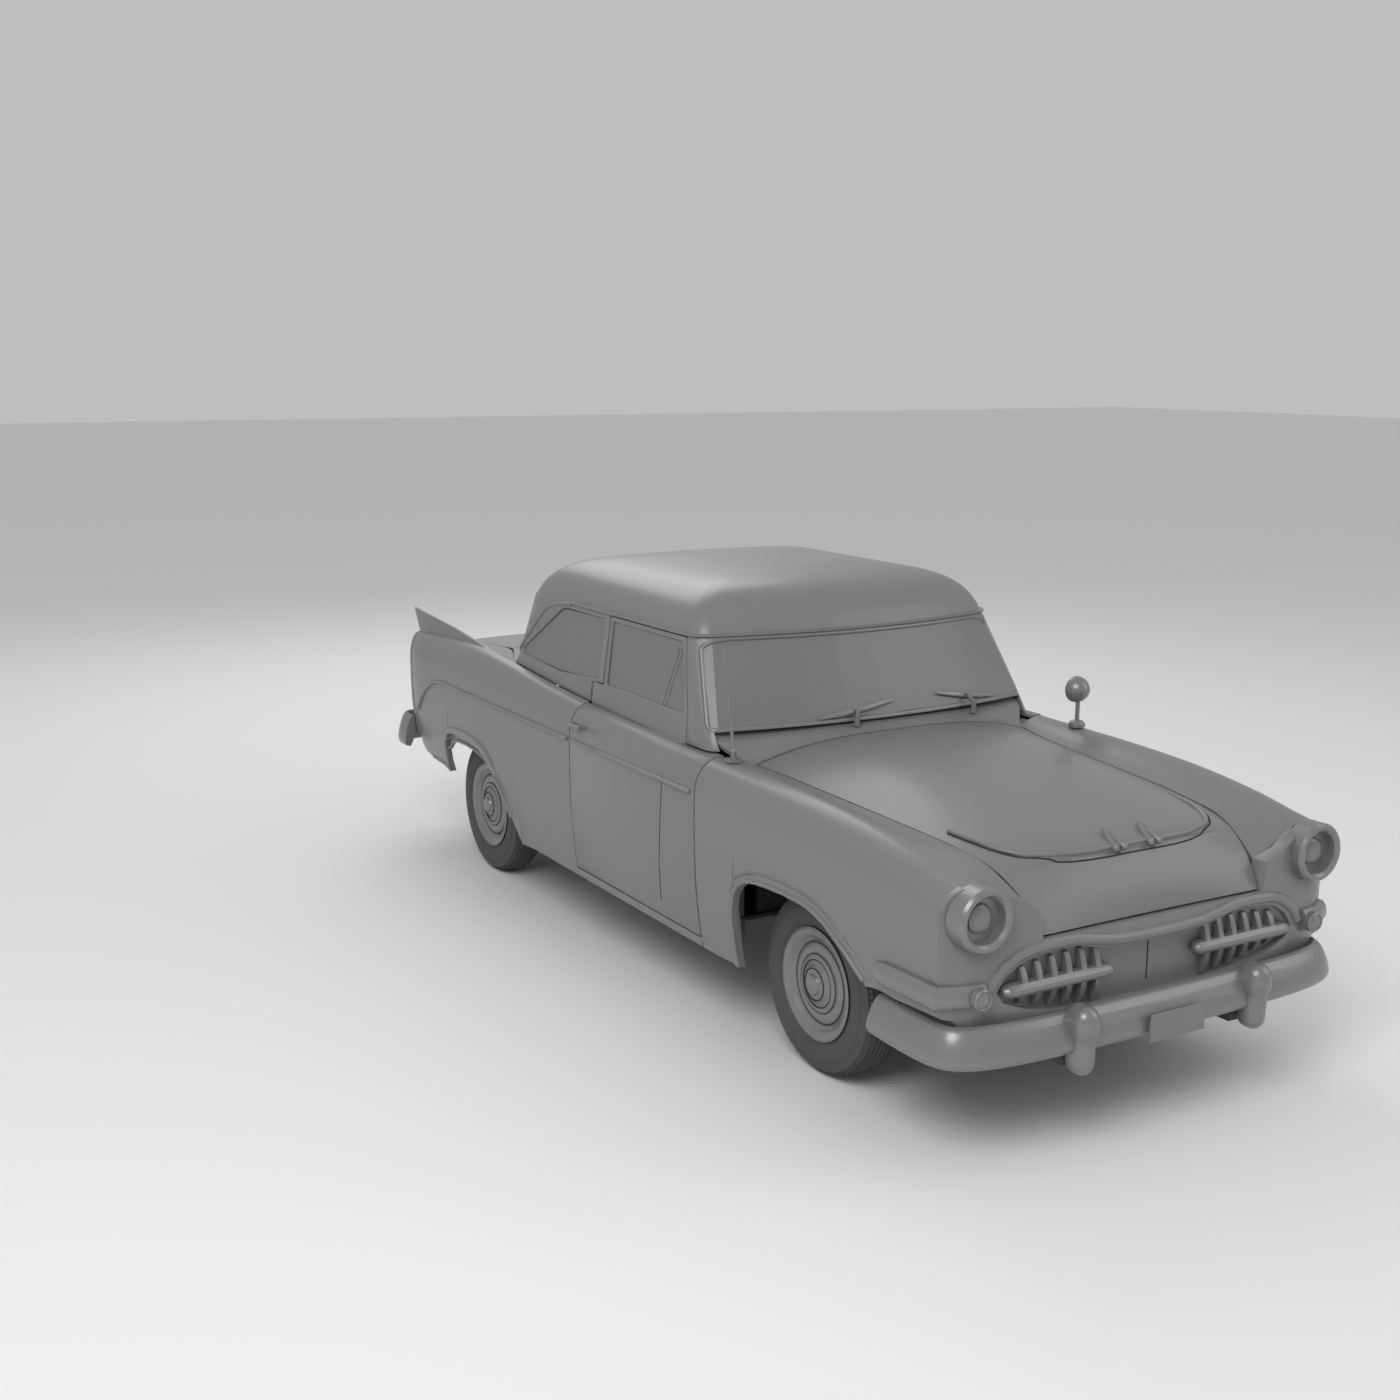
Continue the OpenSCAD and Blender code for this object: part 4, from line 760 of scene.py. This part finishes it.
class SEDAN_OT_stage(bpy.types.Operator):
    """Adds the floor, the lights and the camera"""

    bl_idname = "sedan.stage"
    bl_label = "Stage"

    def execute(self, context):
        scene = context.scene
        bpy.ops.object.select_all(action="DESELECT")
        bpy.ops.mesh.primitive_plane_add(size=FLOOR_SIZE, location=(0, 0, FLOOR_Z))
        floor = context.object
        floor.name = "studio_floor"
        settle(floor)
        floor.data.materials.append(material("matt_floor_paint", "#F2F2F2", 0.9))
        world = bpy.data.worlds.new("studio")
        world.use_nodes = True
        tree = world.node_tree
        light = tree.nodes["Background"]
        light.inputs["Color"].default_value = linear("#F4F4F4")
        light.inputs["Strength"].default_value = WORLD_STRENGTH
        # The backdrop seen by eye is as pale as the floor far away
        backdrop = node(tree, "ShaderNodeBackground", Color=linear("#BEBEBE"))
        path = node(tree, "ShaderNodeLightPath")
        rays = [(0, path, "Is Camera Ray"), (1, path, "Is Glossy Ray")]
        seen = node(tree, "ShaderNodeMath", rays, operation="ADD")
        rays = [(0, seen, "Value"), (1, path, "Is Transmission Ray")]
        seen = node(tree, "ShaderNodeMath", rays, operation="ADD", use_clamp=True)
        shades = [(0, seen, "Value"), (1, light, "Background"), (2, backdrop, "Background")]
        mix = node(tree, "ShaderNodeMixShader", shades)
        tree.links.new(mix.outputs["Shader"], tree.nodes["World Output"].inputs["Surface"])
        scene.world = world
        for name, place, size, watts in LAMPS:
            bpy.ops.object.light_add(type="AREA", location=place)
            lamp = context.object
            lamp.name = name
            lamp.data.shape = "DISK"
            lamp.data.size = size
            lamp.data.energy = watts
            lamp.rotation_euler = (LAMP_AIM - Vector(place)).to_track_quat("-Z", "Y").to_euler()
        yaw, pitch, roll = (math.radians(a) for a in CAMERA_TURN)
        ahead = Vector((math.sin(yaw) * math.cos(pitch), math.cos(yaw) * math.cos(pitch), math.sin(pitch)))
        side = Vector((math.cos(yaw), -math.sin(yaw), 0))
        up = side.cross(ahead)
        turned = side * math.cos(roll) + up * math.sin(roll)
        up = turned.cross(ahead)
        bpy.ops.object.camera_add(location=CAMERA_PLACE)
        camera = context.object
        camera.name = "photo_camera"
        camera.data.lens = scene.sedan_sizes.lens
        camera.data.sensor_width = SENSOR_WIDTH
        turn = Matrix((turned, up, -ahead)).transposed().to_4x4()
        camera.matrix_world = Matrix.Translation(camera.location) @ turn
        scene.camera = camera
        scene.view_settings.view_transform = "Standard"
        return {"FINISHED"}


class SEDAN_OT_panels(bpy.types.Operator):
    """Replaces the faceted body panels by smooth ones"""

    bl_idname = "sedan.panels"
    bl_label = "Body panels"

    def execute(self, context):
        for name in SOFT_PANELS:
            smooth_panel(name, sharp=32)
        smooth_panel("hood", sharp=18)
        for name in SHEETS:
            round_edges(name, width=3, sharp=30)
        round_edges("tail_panel", width=6)
        round_edges("rockers", width=4)
        return {"FINISHED"}


class SEDAN_OT_nose(bpy.types.Operator):
    """Replaces the nose panel by one with full, soft corners round the headlamps"""

    bl_idname = "sedan.nose"
    bl_label = "Nose panel"

    def execute(self, context):
        low, high = (Vector(c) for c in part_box("headlamps"))
        lamp_r = (high.z - low.z) / 2
        lamp = Vector((high.x - lamp_r, 0, low.z + lamp_r))

        def outer_rim(m, a, b):
            """Edges between the front face and the top or the outer side, clear of the lamps."""
            front, back = (a, b) if a.y < b.y else (b, a)
            near = Vector((abs(m.x) - lamp.x, 0, m.z - lamp.z)).length < lamp_r + LAMP_CLEAR
            up = back.z > 0.4 and m.z > NOSE_TOP_Z
            out = back.x * m.x > 0 and abs(back.x) > 0.4 and m.z > NOSE_SIDE_Z
            return front.y < -0.5 and back.y > -0.45 and (up or out) and not near

        obj = copy_of("nose_panel")
        bpy.ops.mesh.dissolve_limited(angle_limit=math.radians(1))
        choose_edges(obj, outer_rim)
        width = context.scene.sedan_sizes.nose
        bpy.ops.mesh.bevel(offset=width, segments=5, affect="EDGES", clamp_overlap=True)
        close()
        bevel_edges(obj, NOSE_EDGE, sharp=40)
        smooth(obj, 45)
        finish(obj, BODY_OF["nose_panel"], "body_paint", replaced=["nose_panel"])
        return {"FINISHED"}


class SEDAN_OT_trim(bpy.types.Operator):
    """Replaces bumpers, grille, lamps and other small parts by smooth ones"""

    bl_idname = "sedan.trim"
    bl_label = "Bright trim"

    def execute(self, context):
        for name in BRIGHT_PARTS:
            smooth_panel(name, sharp=40)
        round_edges("grille", width=4)
        for name in TURNED_PARTS:
            smooth_copy(name)
        return {"FINISHED"}


class SEDAN_OT_glass(bpy.types.Operator):
    """Adds frames and seals round the panes, the vent bars on the doors and the drip rails behind them"""

    bl_idname = "sedan.glass"
    bl_label = "Glass seals"

    def execute(self, context):
        sizes = context.scene.sedan_sizes
        tests = {
            "windshield": lambda c, n: n.y < -0.3 and n.z > -0.2 or abs(n.x) > 0.7 and n.x * c.x > 0,
            "rear_window": lambda c, n: n.y > 0.3 and n.z > -0.2,
            "quarter_windows": lambda c, n: n.x * c.x > 0 and abs(n.x) > 0.6,
            "door_glass_left": lambda c, n: n.x > 0.6,
            "door_glass_right": lambda c, n: n.x < -0.6,
        }
        for name, outward in tests.items():
            frames, seals = [], []
            for k, loop in enumerate(rim_of(name, outward)):
                frames.append(tube(f"{name}_frame_{k}", loop, sizes.frame, cyclic=True))
                middle = sum(loop, Vector()) / len(loop)
                inner = [p + (middle - p).normalized() * sizes.frame * SEAL_INSET for p in loop]
                seals.append(tube(f"{name}_seal_{k}", inner, sizes.seal, cyclic=True))
            finish(join(name + "_frame", frames), BODY_OF[name], "bright_trim")
            finish(join(name + "_seal", seals), BODY_OF[name], SLOT_OF[name], "seal")
        base = []
        for x in BASE_X:
            hits = [on_top(["cowl"], x, s) for s in BASE_REACH]
            base.append([p for p in hits if p][-1] + BASE_MOVE)
        bead("windshield_base_seal", base, sizes.frame, BODY_OF["cowl"], SLOT_OF["windshield"], "seal")
        for name, side in SIDES:
            pane = "door_glass_" + name
            bars = []
            for shift in (-VENT_SHIFT, VENT_SHIFT):
                line = between(VENT_TOP, VENT_FOOT, VENT_STEPS)
                points = [on_side([pane], s + shift, z, side) for s, z in line]
                bars.append(tube(f"vent_bar_{name}_{shift}", [p for p in points if p], sizes.vent))
            finish(join("vent_bar_" + name, bars), BODY_OF[pane], "bright_trim")
            points = [on_side(["pillars", "roof"], s, z, side) for s, z in fair(DRIP_LINE)]
            bead("drip_rail_" + name, points, sizes.rail, BODY_OF["pillars"], "body_paint")
        return {"FINISHED"}


def arch_lines(skin, axle, angles, side, lip):
    """Places along an arch's edge and along the line of its flange."""
    edge, flange = [], []
    for k in range(ARCH_STEPS + 1):
        a = math.radians(angles[0] + (angles[1] - angles[0]) * k / ARCH_STEPS)
        for reach in ARCH_REACH:
            s, z = axle + reach * math.cos(a), WHEEL_Z / MM + reach * math.sin(a)
            hit = on_side([skin], s, z, side)
            if hit and hit.x * side > OUTER_X:
                for line, out in ((edge, lip / MM * LIP_SET), (flange, FLANGE)):
                    place = on_side([skin], s + out * math.cos(a), z + out * math.sin(a), side)
                    if place:
                        line.append(place)
                break
    return edge, flange


class SEDAN_OT_lines(bpy.types.Operator):
    """Adds the rolled lips on the panels, and dark lines of painted shade: the hood's shadow line, the
    scored lines on the doors and the grille's seam
    """

    bl_idname = "sedan.lines"
    bl_label = "Panel lines"

    def execute(self, context):
        sizes = context.scene.sedan_sizes
        r = sizes.lip
        half = fair(HOOD_LINE)
        plan = [(-x, s) for x, s in reversed(half)] + half[1:]
        points = [on_top(["hood"], x, s) for x, s in plan]
        bead("hood_lip", points, r, BODY_OF["hood"], "body_paint")
        # A dark line of painted shadow just ahead of the hood's lip
        points = [on_top(["hood"], x * SHADOW_WIDER, s - SHADOW_AHEAD) for x, s in plan]
        bead("hood_lip_shadow", points, sizes.shadow, BODY_OF["hood"], "body_paint", "joint")
        for name, side in SIDES:
            for end, skin, axle, angles in ARCHES:
                edge, flange = arch_lines(skin, axle, angles, side, r)
                lip = tube(f"arch_lip_{end}_{name}", edge, r)
                line = tube(f"arch_line_{end}_{name}", flange, r / 2)
                finish(join(f"arch_lip_{end}_{name}", [lip, line]), BODY_OF[skin], "body_paint")
            door = "door_" + name
            # The scored line is a dark line of painted shade in its groove
            line = between(SCORE_TOP, SCORE_FOOT, SCORE_STEPS)
            points = [on_side([door], s, z, side) for s, z in line]
            bead("door_score_" + name, points, sizes.score, BODY_OF[door], "body_paint", "joint")
        # The seam is a dark line of painted shade
        points = [on_front(["nose_panel", "grille"], 0, z) for z in GRILLE_SEAM]
        bead("grille_seam", points, sizes.seam, BODY_OF["nose_panel"], "body_paint", "joint")
        return {"FINISHED"}


class SEDAN_OT_plates(bpy.types.Operator):
    """Adds the blank plates and the trunk handle"""

    bl_idname = "sedan.plates"
    bl_label = "Plates and handle"

    def execute(self, context):
        for name, holder, ray, z, behind, middle, size in PLATES:
            face = station_of(ray([holder], 0, z))
            plate = box(name, (0, face + behind, middle), size, PLATE_EDGE)
            finish(plate, BODY_OF[holder], "bright_trim", "body_paint")
        grip = station_of(on_rear(["trunk_lid"], 0, HANDLE_Z))
        handle = join("trunk_handle", [
            box("handle_plate", (0, grip + 1, HANDLE_Z), (150, 8, 46), 0.003),
            box("handle_grip", (0, grip + 14, HANDLE_Z - 7), (110, 26, 16), 0.006),
        ])
        finish(handle, BODY_OF["trunk_lid"], "bright_trim")
        return {"FINISHED"}


class SEDAN_OT_tyres(bpy.types.Operator):
    """Replaces the tyres by grooved ones with shoulder blocks, and the wheels by smooth ones with dark
    rings of painted shade
    """

    bl_idname = "sedan.tyres"
    bl_label = "Tyres"

    def execute(self, context):
        sizes = context.scene.sedan_sizes
        low, high = (Vector(c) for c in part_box("tyre_front_left"))
        r, w = (high.z - low.z) / 2, (high.x - low.x) / 2
        half = [(q, w - x) for q, x in TYRE_SIDE] + [(r - q, w - x) for q, x in TYRE_SHOULDER]
        foot = r - sizes.tread
        for edge in TYRE_GROOVES:
            half += [(r, edge + GROOVE_TOP), (foot, edge + GROOVE_FOOT)]
            half += [(foot, edge - GROOVE_FOOT), (r, edge - GROOVE_TOP)]
        profile = half + [(q, -x) for q, x in reversed(half)]
        tyre = lathe("tyre", profile, TYRE_STEPS)

        def block(c, n):
            """Every second face round the tyre's shoulders."""
            across = w - BLOCK_X[0] < abs(c.x) < w - BLOCK_X[1]
            up = r - BLOCK_R[0] < math.hypot(c.y, c.z) < r - BLOCK_R[1]
            count = int(math.atan2(c.z, c.y) / math.tau * TYRE_STEPS + TYRE_STEPS)
            return across and up and count % 2 == 1

        choose(tyre, faces=block)
        bpy.ops.mesh.inset(thickness=BLOCK_INSET, use_individual=True)
        bpy.ops.transform.shrink_fatten(value=-BLOCK_DEPTH)
        close()
        smooth(tyre, 30)
        for name in [n for n in NODES if n.startswith("tyre_")]:
            low, high = (Vector(c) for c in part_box(name))
            middle, side = (low + high) / 2, 1 if low.x > 0 else -1
            obj = copy_to(name + "_tread", tyre, middle)
            finish(obj, BODY_OF[name], "tyre_rubber", replaced=[name])
            wheel = name.replace("tyre", "wheel")
            smooth_copy(wheel)
            # Dark rings of painted shade in the grooves of the wheel cover
            rings = []
            for q, out in RINGS:
                turns = [k / RING_STEPS * math.tau for k in range(RING_STEPS)]
                circle = [middle + Vector((side * out, q * math.cos(a), q * math.sin(a))) for a in turns]
                rings.append(tube(f"{wheel}_ring_{q}", circle, sizes.ring, cyclic=True))
            finish(join(wheel + "_rings", rings), BODY_OF[wheel], "bright_trim", "joint")
        bpy.data.objects.remove(tyre)
        return {"FINISHED"}


class SEDAN_OT_seats(bpy.types.Operator):
    """Replaces the seat solids by padded cushions on plinths"""

    bl_idname = "sedan.seats"
    bl_label = "Seats"

    def execute(self, context):
        for name, stands_for, centre, size, tilt, rest in PADS:
            obj = pad(name, centre, size, tilt, rest)
            finish(obj, BODY_OF[stands_for], "seat_cloth", replaced=[stands_for])
        for name, rides_with, centre, size in PLINTHS:
            finish(box(name, centre, size, PLINTH_EDGE), BODY_OF[rides_with], "cabin_plastic")
        return {"FINISHED"}


def door_card(name, side, door):
    """A covered board laid on the door's inner face."""
    x, s, z = CARD_MIDDLE
    place = place_of((side * x, s, z))
    bpy.ops.mesh.primitive_grid_add(x_subdivisions=24, y_subdivisions=14, size=1, location=place)
    card = bpy.context.object
    card.name = name
    card.rotation_euler = (math.pi / 2, 0, side * math.pi / 2)
    card.scale = (*CARD_SIZE, 1)
    settle(card)
    apply_modifier(
        card,
        "SHRINKWRAP",
        target=NODES[door],
        wrap_method="PROJECT",
        use_project_x=True,
        use_positive_direction=side > 0,
        use_negative_direction=side < 0,
        offset=CARD_GAP,
    )
    apply_modifier(card, "SOLIDIFY", thickness=CARD_THICK, offset=1.0)
    pick(card)
    edit()
    bpy.ops.mesh.normals_make_consistent(inside=False)
    close()
    smooth(card, 40)
    return card


class SEDAN_OT_cabin(bpy.types.Operator):
    """Adds door cards, armrests, window cranks, dials, the glove lid and mats"""

    bl_idname = "sedan.cabin"
    bl_label = "Cabin"

    def execute(self, context):
        for name, side in SIDES:
            door = "door_" + name
            finish(door_card("door_card_" + name, side, door), BODY_OF[door], "seat_cloth")
            x, s, z = FACE_FROM
            inner = meet([door], place_of((side * x, s, z)), Vector((side, 0, 0)))
            for piece, slot, blocks in FITTINGS:
                parts = []
                for deep, s, z, size, edge in blocks:
                    parts.append(box(piece, (inner.x / MM - side * deep, s, z), size, edge))
                finish(join(f"{piece}_{name}", parts), BODY_OF[door], slot)
        dial = lathe("dial", DIAL, DIAL_STEPS)
        smooth(dial, 30)
        face = meet(["dashboard"], DASH_FROM, Vector((0, -1, 0)))
        for k, x in enumerate(DIAL_X):
            obj = copy_to(f"dial_{k}", dial, (x, face.y, DIAL_Z), turn=math.pi / 2)
            finish(obj, BODY_OF["dashboard"], "bright_trim")
        bpy.data.objects.remove(dial)
        glove = box("glove_lid", (-400, station_of(face) + 3, 932), (360, 8, 100), 0.003)
        finish(glove, BODY_OF["dashboard"], "cabin_plastic")
        for name, centre, size in MATS:
            finish(box(name, centre, size, 0.003), BODY_OF["floor"], "cabin_plastic", "carpet")
        return {"FINISHED"}


class SEDAN_OT_plain(bpy.types.Operator):
    """Gives every solid the finish of its slot"""

    bl_idname = "sedan.plain"
    bl_label = "Plain solids"

    def execute(self, context):
        for name, obj in NODES.items():
            obj.data.materials.clear()
            obj.data.materials.append(FINISH[SLOT_OF[name]])
        return {"FINISHED"}


class SEDAN_PT_panel(bpy.types.Panel):
    """Lists the steps"""

    bl_idname = "SEDAN_PT_panel"
    bl_label = "Sedan"
    bl_space_type = "VIEW_3D"
    bl_region_type = "UI"
    bl_category = "Sedan"

    def draw(self, context):
        for cls in OPERATORS:
            self.layout.operator(cls.bl_idname)


OPERATORS = (
    SEDAN_OT_stage,
    SEDAN_OT_plain,
    SEDAN_OT_panels,
    SEDAN_OT_nose,
    SEDAN_OT_trim,
    SEDAN_OT_glass,
    SEDAN_OT_lines,
    SEDAN_OT_plates,
    SEDAN_OT_tyres,
    SEDAN_OT_seats,
    SEDAN_OT_cabin,
)
CLASSES = (SedanLook, SedanSizes, *OPERATORS, SEDAN_PT_panel)


def register():
    """Registers the settings, the steps and the panel."""
    for cls in CLASSES:
        bpy.utils.register_class(cls)
    bpy.types.Scene.sedan_look = bpy.props.PointerProperty(type=SedanLook)
    bpy.types.Scene.sedan_sizes = bpy.props.PointerProperty(type=SedanSizes)


def unregister():
    """Takes the settings, the steps and the panel away again."""
    del bpy.types.Scene.sedan_look
    del bpy.types.Scene.sedan_sizes
    for cls in reversed(CLASSES):
        bpy.utils.unregister_class(cls)


def main():
    """Runs the steps in order."""
    register()
    FINISH.update(make_materials(bpy.context.scene.sedan_look))
    for cls in OPERATORS:
        group, name = cls.bl_idname.split(".")
        getattr(getattr(bpy.ops, group), name)()


if __name__ == "__main__":
    main()
